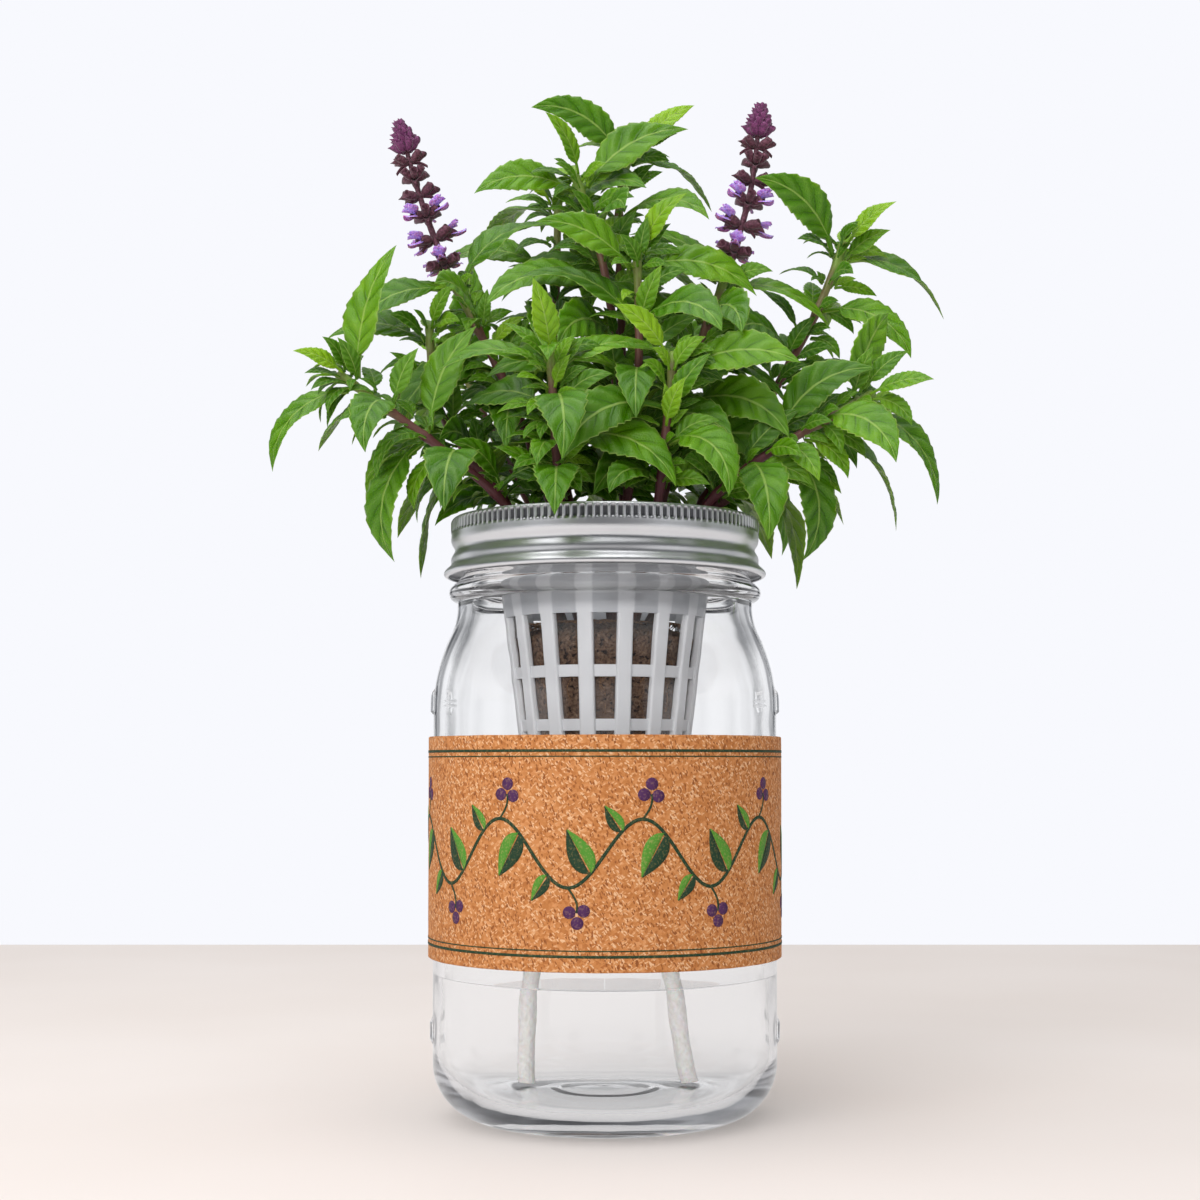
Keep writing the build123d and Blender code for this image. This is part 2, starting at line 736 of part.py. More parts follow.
for stem_name, stem in stems.items():
    points = [tuple(point) for point in stem_points(stem)]
    with BuildPart() as stalk:
        with BuildLine() as stalk_line:
            FilletPolyline(*points, radius=bend_radii(points))
        stalk_wire = stalk_line.wires()[0]
        with BuildSketch(Plane(origin=stalk_wire @ 0, z_dir=stalk_wire % 0)):
            Circle(stem_radius)
        sweep(path=stalk_wire)
    keep(stalk.part, f"stem_{stem_name}")

    # Flower spike: a thin stalk on the stem's end, with whorls of calyces and a bud cone on top
    if "spike" in stem:
        spike_start = stalk_wire @ 1 + (stalk_wire % 1) * leaf_seat_gap
        spike_points = [tuple(spike_start)]
        spike_points += [(x, y, height + flange_top) for x, y, height in stem["spike"]]
        with BuildPart() as spike:
            with BuildLine() as spike_line:
                FilletPolyline(*spike_points, radius=bend_radii(spike_points))
            spike_wire = spike_line.wires()[0]
            with BuildSketch(Plane(origin=spike_wire @ 0, z_dir=spike_wire % 0)):
                Circle(spike_stem_radius)
            sweep(path=spike_wire)
            drop = bud_height
            for whorl in range(whorl_count):
                share = 1 - (drop + whorl_height / 2) / spike_wire.length
                centre = spike_wire @ share
                axis_run = spike_wire % share
                across = axis_run.cross(Vector(0, 1, 0)).normalized()
                with BuildSketch(Plane(origin=centre, x_dir=across, z_dir=across.cross(axis_run))):
                    with BuildLine():
                        Polyline(
                            (0, -whorl_height / 2),
                            *[(wide * whorl_radius, up * whorl_height) for wide, up in whorl_outline],
                            (0, whorl_height / 2),
                            close=True,
                        )
                    make_face()
                revolve(axis=Axis(centre, axis_run))
                drop += whorl_gap * whorl_gap_growth**whorl
            bud_share = 1 - bud_height / spike_wire.length
            bud_foot = spike_wire @ bud_share
            bud_run = spike_wire % 1
            across = bud_run.cross(Vector(0, 1, 0)).normalized()
            with BuildSketch(Plane(origin=bud_foot, x_dir=across, z_dir=across.cross(bud_run))):
                with BuildLine():
                    Polyline(
                        (0, 0),
                        *[(wide * bud_radius, up * bud_height) for wide, up in bud_outline],
                        (0, bud_height + spike_stem_radius),
                        close=True,
                    )
                make_face()
            revolve(axis=Axis(bud_foot, bud_run))
        keep(spike.part, f"spike_{stem_name}")

for stem_name, shapes in grow_leaves().items():
    leaves = Compound(children=[leaf_solid(shape) for shape in shapes])
    print(stem_name, len(shapes), "leaves")
    keep(leaves, f"leaves_{stem_name}")
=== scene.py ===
from math import acos, cos, degrees, pi, radians, sin, tan

import bpy
import numpy as np
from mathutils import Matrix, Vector, noise


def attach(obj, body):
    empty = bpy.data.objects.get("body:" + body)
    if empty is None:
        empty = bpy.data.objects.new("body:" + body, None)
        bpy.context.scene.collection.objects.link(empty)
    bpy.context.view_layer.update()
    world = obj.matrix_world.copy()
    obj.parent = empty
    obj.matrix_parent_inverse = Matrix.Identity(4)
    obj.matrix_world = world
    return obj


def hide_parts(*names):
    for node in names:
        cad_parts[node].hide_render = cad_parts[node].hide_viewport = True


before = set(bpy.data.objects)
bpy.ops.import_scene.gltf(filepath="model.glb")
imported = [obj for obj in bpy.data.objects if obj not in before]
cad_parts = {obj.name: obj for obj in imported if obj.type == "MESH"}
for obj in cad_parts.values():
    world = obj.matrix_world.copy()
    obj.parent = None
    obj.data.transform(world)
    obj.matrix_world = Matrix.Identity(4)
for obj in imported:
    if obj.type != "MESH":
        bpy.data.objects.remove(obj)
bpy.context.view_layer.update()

# Glass jar: a pressed and blown canning jar of clear soda-lime glass, with a pushed-up base, an
# S-shaped shoulder, a bead under the thread and a fire-polished rim. Low grip pads and short
# double marks are moulded on its sides. Sizes in this file are millimetres.
jar_radius = 49.0
jar_wall = 3.5
jar_height = 168.2
heel_radius = 16.0
foot_inner = 30.0
push_up = 3.0
base_ring_radii = (12.5, 26.0)
base_ring_width = 2.6
base_ring_depth = 0.6
floor_ring_radius = 37.0
floor_ring_width = 2.4
floor_ring_height = 0.5
floor_thickness = 5.5
floor_rise = 0.8
side_levels = (40, 80)
shoulder_height = 116.0
shoulder_arc = 48.0
neck_arc = 18.0
neck_radius = 42.2
mouth_radius = 38.2
bead_height = 149.1
bead_half_height = 2.5
finish_radius = 40.4
finish_step = 15.6
rim_round = 0.8
thread_start = 159.6
thread_pitch = 5.08
thread_turns = 1.25
thread_section = 1.0
thread_fade = 0.25
pad_width = 12.0
pad_height = 6.3
pad_corner = 2.0
pad_proud = 0.8
pad_edge = 0.9
pad_levels = (25.0, 118.0)
mark_level = 117.0
mark_direction = 61.0
mark_length = 7.0
mark_width = 0.55
mark_spacing = 1.3
mark_proud = 0.1
mark_fade = 0.8
mark_zone = 3
mark_rows = 0.12
jar_steps = 320
jar_spacing = 1.0
neck_spacing = 0.4
pole = 0.02


def arc(centre, radius, first, last, steps):
    """Points (radius, height) on an arc between two angles in degrees."""
    turn = np.radians(np.linspace(first, last, steps))
    return list(zip(centre[0] + radius * np.cos(turn), centre[1] + radius * np.sin(turn)))


def softened(profile, spacing, passes=2):
    """A profile resampled at even steps, with its corners rounded by averaging."""
    points = np.array(profile)
    reach = np.concatenate(([0], np.cumsum(np.hypot(*np.diff(points, axis=0).T))))
    steps = np.linspace(0, reach[-1], int(reach[-1] / spacing))
    even = np.stack([np.interp(steps, reach, points[:, axis]) for axis in (0, 1)], axis=1)
    for _ in range(passes):
        even[1:-1] = (even[:-2] + 2 * even[1:-1] + even[2:]) / 4
    return even


def around(steps):
    """Evenly spaced angles for one turn."""
    return np.arange(steps) * 2 * pi / steps


def grid_faces(rows, columns, wrap_rows=False, wrap_columns=False):
    """The faces of a grid of points, and of its two end rows where only its columns close."""
    row, column = np.meshgrid(
        np.arange(rows if wrap_rows else rows - 1),
        np.arange(columns if wrap_columns else columns - 1),
        indexing="ij",
    )
    here = row * columns
    ahead = (row + 1) % rows * columns
    beside = (column + 1) % columns
    quads = np.stack((here + column, here + beside, ahead + beside, ahead + column), axis=-1)
    faces = quads.reshape(-1, 4).tolist()
    if wrap_columns and not wrap_rows:
        faces.append(list(range(columns))[::-1])
        faces.append(list(range((rows - 1) * columns, rows * columns)))
    return faces


def turned(profile, steps, push=0.0, closed=False):
    """The points and faces of a profile (radius, height) turned round Z, with push added to the radius."""
    radius, height = np.array(profile).T
    angle = around(steps)
    reach = radius[:, None] + push + 0 * angle
    level = height[:, None] + 0 * angle
    points = np.stack((reach * np.cos(angle), reach * np.sin(angle), level), axis=-1)
    return points.reshape(-1, 3), grid_faces(len(radius), steps, wrap_rows=closed, wrap_columns=True)


def make_piece(name, points, faces, *materials, finishes=()):
    """A smooth mesh object from points in millimetres, with the material's number of each face."""
    mesh = bpy.data.meshes.new(name)
    mesh.from_pydata((np.array(points) * 0.001).tolist(), [], faces)
    mesh.shade_smooth()
    for each in materials:
        mesh.materials.append(each)
    if finishes:
        mesh.polygons.foreach_set("material_index", finishes)
    made = bpy.data.objects.new(name, mesh)
    bpy.context.scene.collection.objects.link(made)
    return made


def linear(code):
    """An sRGB hex colour as linear red, green, blue and alpha."""
    shares = [int(code[at : at + 2], 16) / 255 for at in (1, 3, 5)]
    return [s / 12.92 if s <= 0.04045 else ((s + 0.055) / 1.055) ** 2.4 for s in shares] + [1.0]


def fill(node, inputs):
    """Give a node's inputs a value, a hex colour, or a link from a socket or a node's first output."""
    for name, value in inputs.items():
        if isinstance(value, bpy.types.Node):
            value = next(output for output in value.outputs if output.enabled)
        if isinstance(value, bpy.types.NodeSocket):
            node.id_data.links.new(value, node.inputs[name])
        else:
            node.inputs[name].default_value = linear(value) if isinstance(value, str) else value


def add(tree, kind, inputs=None, stops=(), **settings):
    """A shader node with its settings, inputs and, from its low end to its high end, ramp stops."""
    made = tree.nodes.new("ShaderNode" + kind)
    for name, value in settings.items():
        setattr(made, name, value)
    fill(made, inputs or {})
    for index, (position, code) in enumerate(stops):
        ramp = made.color_ramp.elements
        inner = 0 < index < len(stops) - 1
        stop = ramp.new(position) if inner else ramp[index]
        stop.position = position
        stop.color = linear(code)
    return made


def new_material(name, sockets):
    """A material with one Principled shader, and where in the object a point of it lies."""
    made = bpy.data.materials.new(name)
    made.use_nodes = True
    tree = made.node_tree
    shader = tree.nodes["Principled BSDF"]
    fill(shader, sockets)
    return made, tree, shader, add(tree, "TexCoord").outputs["Object"]


def let_through(tree, shader, share, colour):
    """Let a share of the rays pass straight through a material, tinted with a colour."""
    clear = add(tree, "BsdfTransparent", {"Color": colour})
    fill(tree.nodes["Material Output"], {"Surface": add(tree, "MixShader", {0: share, 1: shader, 2: clear})})


heel_start = jar_radius - heel_radius
inner_radius = jar_radius - jar_wall
inner_heel = heel_radius - jar_wall
inner_heel_start = inner_radius - inner_heel
dome_radius = (foot_inner**2 + push_up**2) / (2 * push_up)
shoulder_turn = acos(1 - (jar_radius - neck_radius) / (shoulder_arc + neck_arc))
shoulder_end = degrees(shoulder_turn)
neck_height = shoulder_height + (shoulder_arc + neck_arc) * sin(shoulder_turn)
inner_shoulder_arc = shoulder_arc - jar_wall
inner_span = (inner_radius - mouth_radius) / (1 - cos(shoulder_turn))
inner_neck_height = shoulder_height + inner_span * sin(shoulder_turn)
inner_neck_arc = inner_span - inner_shoulder_arc
finish_bottom = jar_height - finish_step
rim_level = jar_height - rim_round
jar_floor = floor_thickness + floor_rise

lower_outside = softened(
    [
        (pole, push_up),
        *arc((0, push_up - dome_radius), dome_radius, 89, 78.6, 10),
        (foot_inner, 0),
        (heel_start, 0),
        *arc((heel_start, heel_radius), heel_radius, -85, 0, 18),
        *[(jar_radius, level) for level in (*side_levels, shoulder_height)],
        *arc((jar_radius - shoulder_arc, shoulder_height), shoulder_arc, 2, shoulder_end, 14),
    ],
    jar_spacing,
)
neck_and_rim = softened(
    [
        lower_outside[-1],
        *arc((neck_radius + neck_arc, neck_height), neck_arc, 180 + shoulder_end, 180, 8),
        *arc((neck_radius, bead_height), bead_half_height, -90, 90, 11),
        (neck_radius, finish_bottom),
        (finish_radius, finish_bottom + neck_radius - finish_radius),
        (finish_radius, rim_level),
        *arc((finish_radius - rim_round, rim_level), rim_round, 15, 90, 5),
        *arc((mouth_radius + rim_round, rim_level), rim_round, 90, 165, 5),
        (mouth_radius, bead_height),
    ],
    neck_spacing,
)
inner_neck = (mouth_radius + inner_neck_arc, inner_neck_height)
inner_shoulder = (inner_radius - inner_shoulder_arc, shoulder_height)
inside = softened(
    [
        neck_and_rim[-1],
        *arc(inner_neck, inner_neck_arc, 180, 180 + shoulder_end, 8),
        *arc(inner_shoulder, inner_shoulder_arc, shoulder_end, 0, 14),
        *[(inner_radius, level) for level in side_levels[::-1]],
        *arc((inner_heel_start, floor_thickness + inner_heel), inner_heel, 0, -85, 16),
        (inner_heel_start, floor_thickness),
        (pole, jar_floor),
    ],
    jar_spacing,
)
jar_profile = np.concatenate((lower_outside, neck_and_rim[1:], inside[1:]))
# Closer rows where the marks are, two raised rings under the base and one where the floor ends
mark_start = np.argmax(jar_profile[:, 1] > mark_level - mark_zone)
mark_end = np.argmax(jar_profile[:, 1] > mark_level + mark_zone)
close_levels = np.arange(mark_level - mark_zone, mark_level + mark_zone, mark_rows)
close_rise = np.maximum(close_levels - shoulder_height, 0)
close_radii = jar_radius - shoulder_arc + np.sqrt(shoulder_arc**2 - close_rise**2)
close_profile = np.stack((close_radii, close_levels), axis=1)
jar_profile = np.concatenate((jar_profile[:mark_start], close_profile, jar_profile[mark_end:]))
outside_rows = np.argmax(jar_profile[:, 1])
base_rows = np.argmax(jar_profile[:, 0] > foot_inner)
for ring_radius in base_ring_radii:
    ring_gap = (jar_profile[1:base_rows, 0] - ring_radius) / base_ring_width
    jar_profile[1:base_rows, 1] -= base_ring_depth * np.exp(-(ring_gap**2))
floor_gap = (jar_profile[outside_rows:-1, 0] - floor_ring_radius) / floor_ring_width
on_floor = jar_profile[outside_rows:-1, 1] < heel_radius
jar_profile[outside_rows:-1, 1] += on_floor * floor_ring_height * np.exp(-(floor_gap**2))

jar_angle = around(jar_steps)
jar_level = jar_profile[:outside_rows, 1:2]
jar_push = np.zeros((len(jar_profile), jar_steps))


def aside_from(direction):
    """How far each column of the jar lies from a direction in degrees, round its side."""
    return jar_radius * np.abs((jar_angle - radians(direction) + pi) % (2 * pi) - pi)


for pad_direction in (0, 180):
    for pad_level in pad_levels:
        past_side = np.maximum(aside_from(pad_direction) - pad_width / 2 + pad_corner, 0)
        past_end = np.maximum(np.abs(jar_level - pad_level) - pad_height / 2 + pad_corner, 0)
        pad_over = np.hypot(past_side, past_end) - pad_corner
        jar_push[:outside_rows] += pad_proud * np.clip(0.5 - pad_over / pad_edge, 0, 1)
for mark_side in (-90 - mark_direction, -90 + mark_direction):
    bar_end = np.clip((mark_length / 2 - aside_from(mark_side)) / mark_fade, 0, 1)
    for mark_step in (-0.5, 0.5):
        bar_gap = (jar_level - mark_level - mark_step * mark_spacing) / mark_width * 2
        jar_push[:outside_rows] += mark_proud * bar_end * np.exp(-(bar_gap**2))
for lap in (0, 1):
    thread_turn = jar_angle / (2 * pi) + lap
    thread_gap = (jar_level - thread_start + thread_pitch * thread_turn) / thread_section
    thread_end = np.clip(np.minimum(thread_turn, thread_turns - thread_turn) / thread_fade, 0, 1)
    jar_push[:outside_rows] += thread_section * thread_end * np.sqrt(np.maximum(0, 1 - thread_gap**2))

# Soda-lime glass: clear, with the slight waves that a mould leaves. Lamps pass it. Light that is caught
# in the wall leaves it after three reflections, dimmed by painted grey streaks of shade like those that the
# heel shows.
glass_wave = 14.0
streak_length = 30.0
streak_width = 1.2
streak_top = 18.0
reflections = 2.5
glass, tree, shader, place = new_material(
    "soda_lime_glass", {"Base Color": "#FEFEFE", "Roughness": 0.0, "IOR": 1.5, "Transmission Weight": 1.0}
)
waves = add(tree, "TexNoise", {"Vector": place, "Scale": 1000 / glass_wave, "Detail": 1.0})
fill(shader, {"Normal": add(tree, "Bump", {"Height": waves, "Strength": 0.12, "Distance": 0.001})})
path = add(tree, "LightPath").outputs
trapped = add(tree, "Math", {0: path["Glossy Depth"], 1: reflections}, operation="GREATER_THAN")
spot = add(tree, "SeparateXYZ", {"Vector": place}).outputs
level = add(tree, "Math", {0: spot["Z"], 1: streak_top / 1000}, operation="MINIMUM")
level = add(tree, "Math", {0: level, 1: streak_length / streak_width}, operation="MULTIPLY")
rings = add(tree, "CombineXYZ", {"X": spot["X"], "Y": spot["Y"], "Z": level})
streaks = add(tree, "TexNoise", {"Vector": rings, "Scale": 1000 / streak_length, "Detail": 1.0})
# Painted shade: grey noise streaks tint the light that leaves the wall after three reflections
painted_heel_streaks = add(tree, "ValToRGB", {"Fac": streaks}, stops=((0.36, "#5A5C60"), (0.64, "#D0D2D6")))
dimmed = add(tree, "Mix", {0: trapped, 6: "#FEFEFE", 7: painted_heel_streaks}, data_type="RGBA")
passed = add(tree, "Math", {0: path["Is Shadow Ray"], 1: trapped}, operation="MAXIMUM")
let_through(tree, shader, passed, dimmed)

jar = make_piece("glass_jar", *turned(jar_profile, jar_steps, jar_push), glass)
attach(jar, "jar")
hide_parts("jar")

# Water: the nutrient solution that the wicks stand in. It wets the glass, so its skin reaches a
# little into the wall and climbs it at the edge.
water_level = 40.0
water_overlap = 0.15
meniscus_height = 1.1
meniscus_reach = 1.6
skin_rings = 24
water_steps = 160
water_bending = 1.03
water_wall = inner_radius + water_overlap
skin_radius = water_wall - np.linspace(0, 1, skin_rings) ** 2 * (water_wall - pole)
skin_level = water_level + meniscus_height * np.exp((skin_radius - water_wall) / meniscus_reach)
water_profile = [
    (pole, jar_floor - water_overlap),
    (inner_heel_start, floor_thickness - water_overlap),
    *arc((inner_heel_start, floor_thickness + inner_heel), inner_heel + water_overlap, -80, 0, 16),
    (water_wall, water_level / 2 + floor_thickness),
    *zip(skin_radius, skin_level),
]
# Clear water: a skin that shows, and hardly any colour or bending of what is seen through it
water_finish, tree, shader, _ = new_material(
    "clear_water",
    {"Base Color": "#FEFEFE", "Roughness": 0.0, "IOR": water_bending, "Transmission Weight": 1.0},
)
let_through(tree, shader, add(tree, "LightPath").outputs["Is Shadow Ray"], "#FBFDFD")
water = make_piece("water", *turned(water_profile, water_steps), water_finish)
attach(water, "jar")

# Cork sleeve: a sheet of pressed cork granules, cut straight, wrapped round the jar and closed with
# a butt seam at the back. It holds by its own grip and can be pushed up or down.
sleeve_inner = 49.2
sleeve_outer = 50.35
sleeve_bottom = 45.8
sleeve_top = 108.1
sleeve_edge = 0.35
sleeve_seam = 0.4
sleeve_steps = 360
sleeve_rows = 64
inner_rows = 12
inner_margin = 2
sleeve_unevenness = 0.04
sleeve_wave = 9.0
sleeve_grit = 1.3
wavy_edge = 1
seam_turn = sleeve_seam / sleeve_outer / 2
sleeve_angle = np.linspace(pi / 2 + seam_turn, 5 * pi / 2 - seam_turn, sleeve_steps)
outer_edge = sleeve_outer - sleeve_edge
inner_edge = sleeve_inner + sleeve_edge
low_edge = sleeve_bottom + sleeve_edge
high_edge = sleeve_top - sleeve_edge
sleeve_loop = [
    *[(sleeve_outer, level) for level in np.linspace(low_edge, high_edge, sleeve_rows)],
    *arc((outer_edge, high_edge), sleeve_edge, 20, 90, 4),
    *arc((inner_edge, high_edge), sleeve_edge, 90, 180, 4),
    *[
        (sleeve_inner, level)
        for level in np.linspace(sleeve_top - inner_margin, sleeve_bottom + inner_margin, inner_rows)
    ],
    *arc((inner_edge, low_edge), sleeve_edge, 180, 270, 4),
    *arc((outer_edge, low_edge), sleeve_edge, 270, 340, 4),
]
sleeve_points = []
for radius, level in sleeve_loop:
    at_edge = level > sleeve_top - wavy_edge or level < sleeve_bottom + wavy_edge
    for angle in sleeve_angle:
        spot = Vector((radius * cos(angle), radius * sin(angle), level))
        rough = noise.noise(spot / sleeve_wave) + noise.noise(spot / sleeve_grit)
        reach = radius + sleeve_unevenness * rough * (radius > outer_edge)
        up = level + sleeve_unevenness * 2 * noise.noise(spot / sleeve_wave * 2) * at_edge
        sleeve_points.append((reach * cos(angle), reach * sin(angle), up))
sleeve_faces = grid_faces(len(sleeve_loop), sleeve_steps, wrap_rows=True)
first_end = [row * sleeve_steps for row in range(len(sleeve_loop))]
sleeve_faces.append(first_end)
sleeve_faces.append([at + sleeve_steps - 1 for at in first_end][::-1])

# Pressed cork: sanded granules of tan bark, with pale and dark slivers, dark specks and open pores
granule = 0.75
granule_colours = ((0.0, "#AC6A38"), (0.35, "#B97842"), (0.7, "#C3824D"), (1.0, "#CF925F"))
sliver_length = 0.8
sliver_width = 0.32
slivers = ((0.6, 0.9, "#D6A274"), (-0.8, 0.92, "#DDB188"), (1.9, 0.89, "#8E532A"))
speck = 0.6
cork, tree, shader, place = new_material("pressed_cork", {"Roughness": 0.8, "Specular IOR Level": 0.25})
spot = add(tree, "SeparateXYZ", {"Vector": place}).outputs
front = add(tree, "Math", {0: spot["Y"], 1: -1.0}, operation="MULTIPLY")
turn = add(tree, "Math", {0: spot["X"], 1: front}, operation="ARCTAN2")
girth = add(tree, "Math", {0: turn, 1: sleeve_outer / 1000}, operation="MULTIPLY")
sheet = add(tree, "CombineXYZ", {"X": girth, "Y": spot["Z"], "Z": 0.0})
grains = add(tree, "TexVoronoi", {"Vector": sheet, "Scale": 1000 / granule}, voronoi_dimensions="2D")
shade = add(tree, "SeparateColor", {"Color": grains.outputs["Color"]}).outputs["Red"]
cork_colour = add(tree, "ValToRGB", {"Fac": shade}, stops=granule_colours)
for sliver_turn, rarity, sliver_colour in slivers:
    tilted = add(
        tree,
        "Mapping",
        {
            "Vector": sheet,
            "Rotation": (0.0, 0.0, sliver_turn),
            "Scale": (sliver_length / 1000, sliver_width / 1000, 1.0),
        },
        vector_type="TEXTURE",
    )
    cells = add(tree, "TexVoronoi", {"Vector": tilted, "Scale": 1.0}, voronoi_dimensions="2D")
    pick = add(tree, "SeparateColor", {"Color": cells.outputs["Color"]}).outputs["Green"]
    chosen = add(tree, "Math", {0: pick, 1: rarity}, operation="GREATER_THAN")
    cork_colour = add(tree, "Mix", {0: chosen, 6: cork_colour, 7: sliver_colour}, data_type="RGBA")
specks = add(tree, "TexNoise", {"Vector": sheet, "Scale": 1000 / speck, "Detail": 3.0})
dark = add(tree, "MapRange", {"Value": specks, "From Min": 0.36, "From Max": 0.3})
cork_colour = add(tree, "Mix", {0: dark, 6: cork_colour, 7: "#7A4521"}, data_type="RGBA")
grain_height = add(tree, "Math", {0: grains, 1: specks}, operation="SUBTRACT")
bump = add(
    tree, "Bump", {"Height": grain_height, "Strength": 0.35, "Distance": 0.0003, "Filter Width": 0.1}
)
fill(shader, {"Base Color": cork_colour, "Normal": bump})

sleeve = make_piece("cork_wrap", sleeve_points, sleeve_faces, cork)
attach(sleeve, "sleeve")
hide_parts("cork_sleeve")

# Print on the sleeve: a running vine with two-tone leaves and berries between ruled lines, screened
# on the cork in three inks. Each ink shape is a thin film that follows the sleeve.
ink_film = 0.1
ink_sunk = 0.12
rule_inset = 4.2
rule_width = 0.7
fine_rule_inset = 5.7
fine_rule_width = 0.3
vine_waves = 8
vine_swing = 9.0
vine_width = 0.9
vine_samples = 240
vine_leaf_length = 13.0
vine_leaf_width = 3.4
bare_midrib = 0.22
blunt_tip = 0.24
# Each leaf on a half wave: its place from the crest, its side of the vine, its lean and its size
vine_leaves = ((6.0, -1, 0.5, 1.0), (-5.5, 1, 0.6, 0.62))
stalk_height = 6.5
stalk_bow = 2.5
stalk_width = 0.55
berry_radius = 1.7
berry_places = ((-1.9, 6.4), (1.9, 6.0), (0.2, 9.2))
dark_green, leaf_green, purple = range(3)
ink_colours = (
    ("dark_green_ink", "#1E3A26", "#5C5A36"),
    ("leaf_green_ink", "#4E8A2C", "#86924A"),
    ("purple_ink", "#4B2752", "#79565A"),
)
vine_middle = (sleeve_bottom + sleeve_top) / 2
girth_length = 2 * pi * sleeve_outer
wave_length = girth_length / vine_waves
ink_films = []


def ink_strip(left, right, columns, ink):
    """A film between two edges, each a row of points (round the sleeve, height)."""
    left, right = np.array(left), np.array(right)
    share = np.linspace(0, 1, columns)[None, :, None]
    flat = left[:, None, :] * (1 - share) + right[:, None, :] * share
    loop = np.concatenate((flat, flat[:, ::-1]), axis=1)
    angle = loop[..., 0] / sleeve_outer - pi / 2
    reach = sleeve_outer + np.repeat((ink_film, -ink_sunk), columns)[None, :]
    film = np.stack((reach * np.cos(angle), reach * np.sin(angle), loop[..., 1]), axis=-1)
    ink_films.append((film.reshape(-1, 3), grid_faces(len(left), 2 * columns, wrap_columns=True), ink))


def ink_line(reach, level, width):
    """A drawn line in dark green."""
    points = np.stack((reach, level), axis=1)
    run = np.gradient(points, axis=0)
    run /= np.linalg.norm(run, axis=1)[:, None]
    aside = np.stack((-run[:, 1], run[:, 0]), axis=1) * width / 2
    ink_strip(points + aside, points - aside, 2, dark_green)


def ink_leaf(foot, direction, length, width):
    """A leaf in two greens, with a bare midrib between its halves."""
    share = np.linspace(0, 1, 15)
    run = np.array((cos(direction), sin(direction)))
    aside = np.array((-run[1], run[0]))
    middle = np.array(foot) + share[:, None] * length * run
    wide = np.maximum(width * np.sin(pi * share**0.7) ** 0.85, blunt_tip)[:, None]
    slit = bare_midrib * (1 - share[:, None])
    ink_strip(middle + aside * wide, middle + aside * slit, 4, dark_green)
    ink_strip(middle - aside * slit, middle - aside * wide, 4, leaf_green)


def ink_berry(reach, level):
    """A round purple spot."""
    share = np.linspace(-0.98, 0.98, 11)
    half = np.sqrt(1 - share**2) * berry_radius
    levels = level + share * berry_radius
    left, right = (np.stack((reach + side * half, levels), axis=1) for side in (-1, 1))
    ink_strip(left, right, 3, purple)


def vine_height(reach):
    """The vine's height at a distance round the sleeve."""
    return vine_middle + vine_swing * np.sin(2 * pi * reach / wave_length)


def joined(meshes):
    """Several meshes as one: its points, its faces and the material's number of each face."""
    starts = np.cumsum([0] + [len(points) for points, _, _ in meshes]).tolist()
    faces = [[start + at for at in face] for start, mesh in zip(starts, meshes) for face in mesh[1]]
    finishes = [finish for _, mesh_faces, finish in meshes for _ in mesh_faces]
    return np.concatenate([points for points, _, _ in meshes]), faces, finishes


ring_reach = np.linspace(-girth_length / 2 + 1, girth_length / 2 - 1, vine_samples)
for rule_side, rule_edge in ((1, sleeve_bottom), (-1, sleeve_top)):
    for inset, width in ((rule_inset, rule_width), (fine_rule_inset, fine_rule_width)):
        ink_line(ring_reach, np.full_like(ring_reach, rule_edge + rule_side * inset), width)
ink_line(ring_reach, vine_height(ring_reach), vine_width)
for half_wave in range(2 * vine_waves):
    crest = -girth_length / 2 + (half_wave + 0.5) * wave_length / 2
    crest_level = vine_height(crest)
    crest_sign = np.sign(crest_level - vine_middle)
    for along_vine, side, lean, size in vine_leaves:
        foot = (crest + along_vine, vine_height(crest + along_vine))
        leaf_direction = side * crest_sign * (pi / 2 + lean)
        ink_leaf(foot, leaf_direction, vine_leaf_length * size, vine_leaf_width * size)
    share = np.linspace(0, 1, 9)
    stalk = crest + stalk_bow * np.sin(2 * share)
    ink_line(stalk, crest_level + crest_sign * stalk_height * share, stalk_width)
    for berry_side, berry_up in berry_places:
        ink_berry(stalk[-1] + berry_side, crest_level + crest_sign * berry_up)

# Screen inks on cork: matt colour that thins over the coarser granules
inks = []
for ink_name, ink_colour, worn_colour in ink_colours:
    ink, tree, shader, place = new_material(ink_name, {"Roughness": 0.7, "Specular IOR Level": 0.25})
    thin = add(tree, "TexNoise", {"Vector": place, "Scale": 1000 / speck, "Detail": 3.0})
    worn = add(tree, "ValToRGB", {"Fac": thin}, stops=((0.5, ink_colour), (0.72, worn_colour)))
    bump = add(tree, "Bump", {"Height": thin, "Strength": 0.3, "Distance": 0.0002})
    fill(shader, {"Base Color": worn, "Normal": bump})
    inks.append(ink)
points, faces, finishes = joined(ink_films)
sleeve_print = make_piece("sleeve_print", points, faces, *inks, finishes=finishes)
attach(sleeve_print, "sleeve")

# Net cup: one moulding of white polypropylene, with sixteen ribs tied by recessed rings. Its flange
# lies on the jar's rim under the screw band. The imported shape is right, so it is only finished here.
rib_count = 16
slot_top = 141.2
web_start = 141.7
collar_bottom = 142.5
collar_thin = 145.5
collar_light = 0.7
mould_grain = 0.6
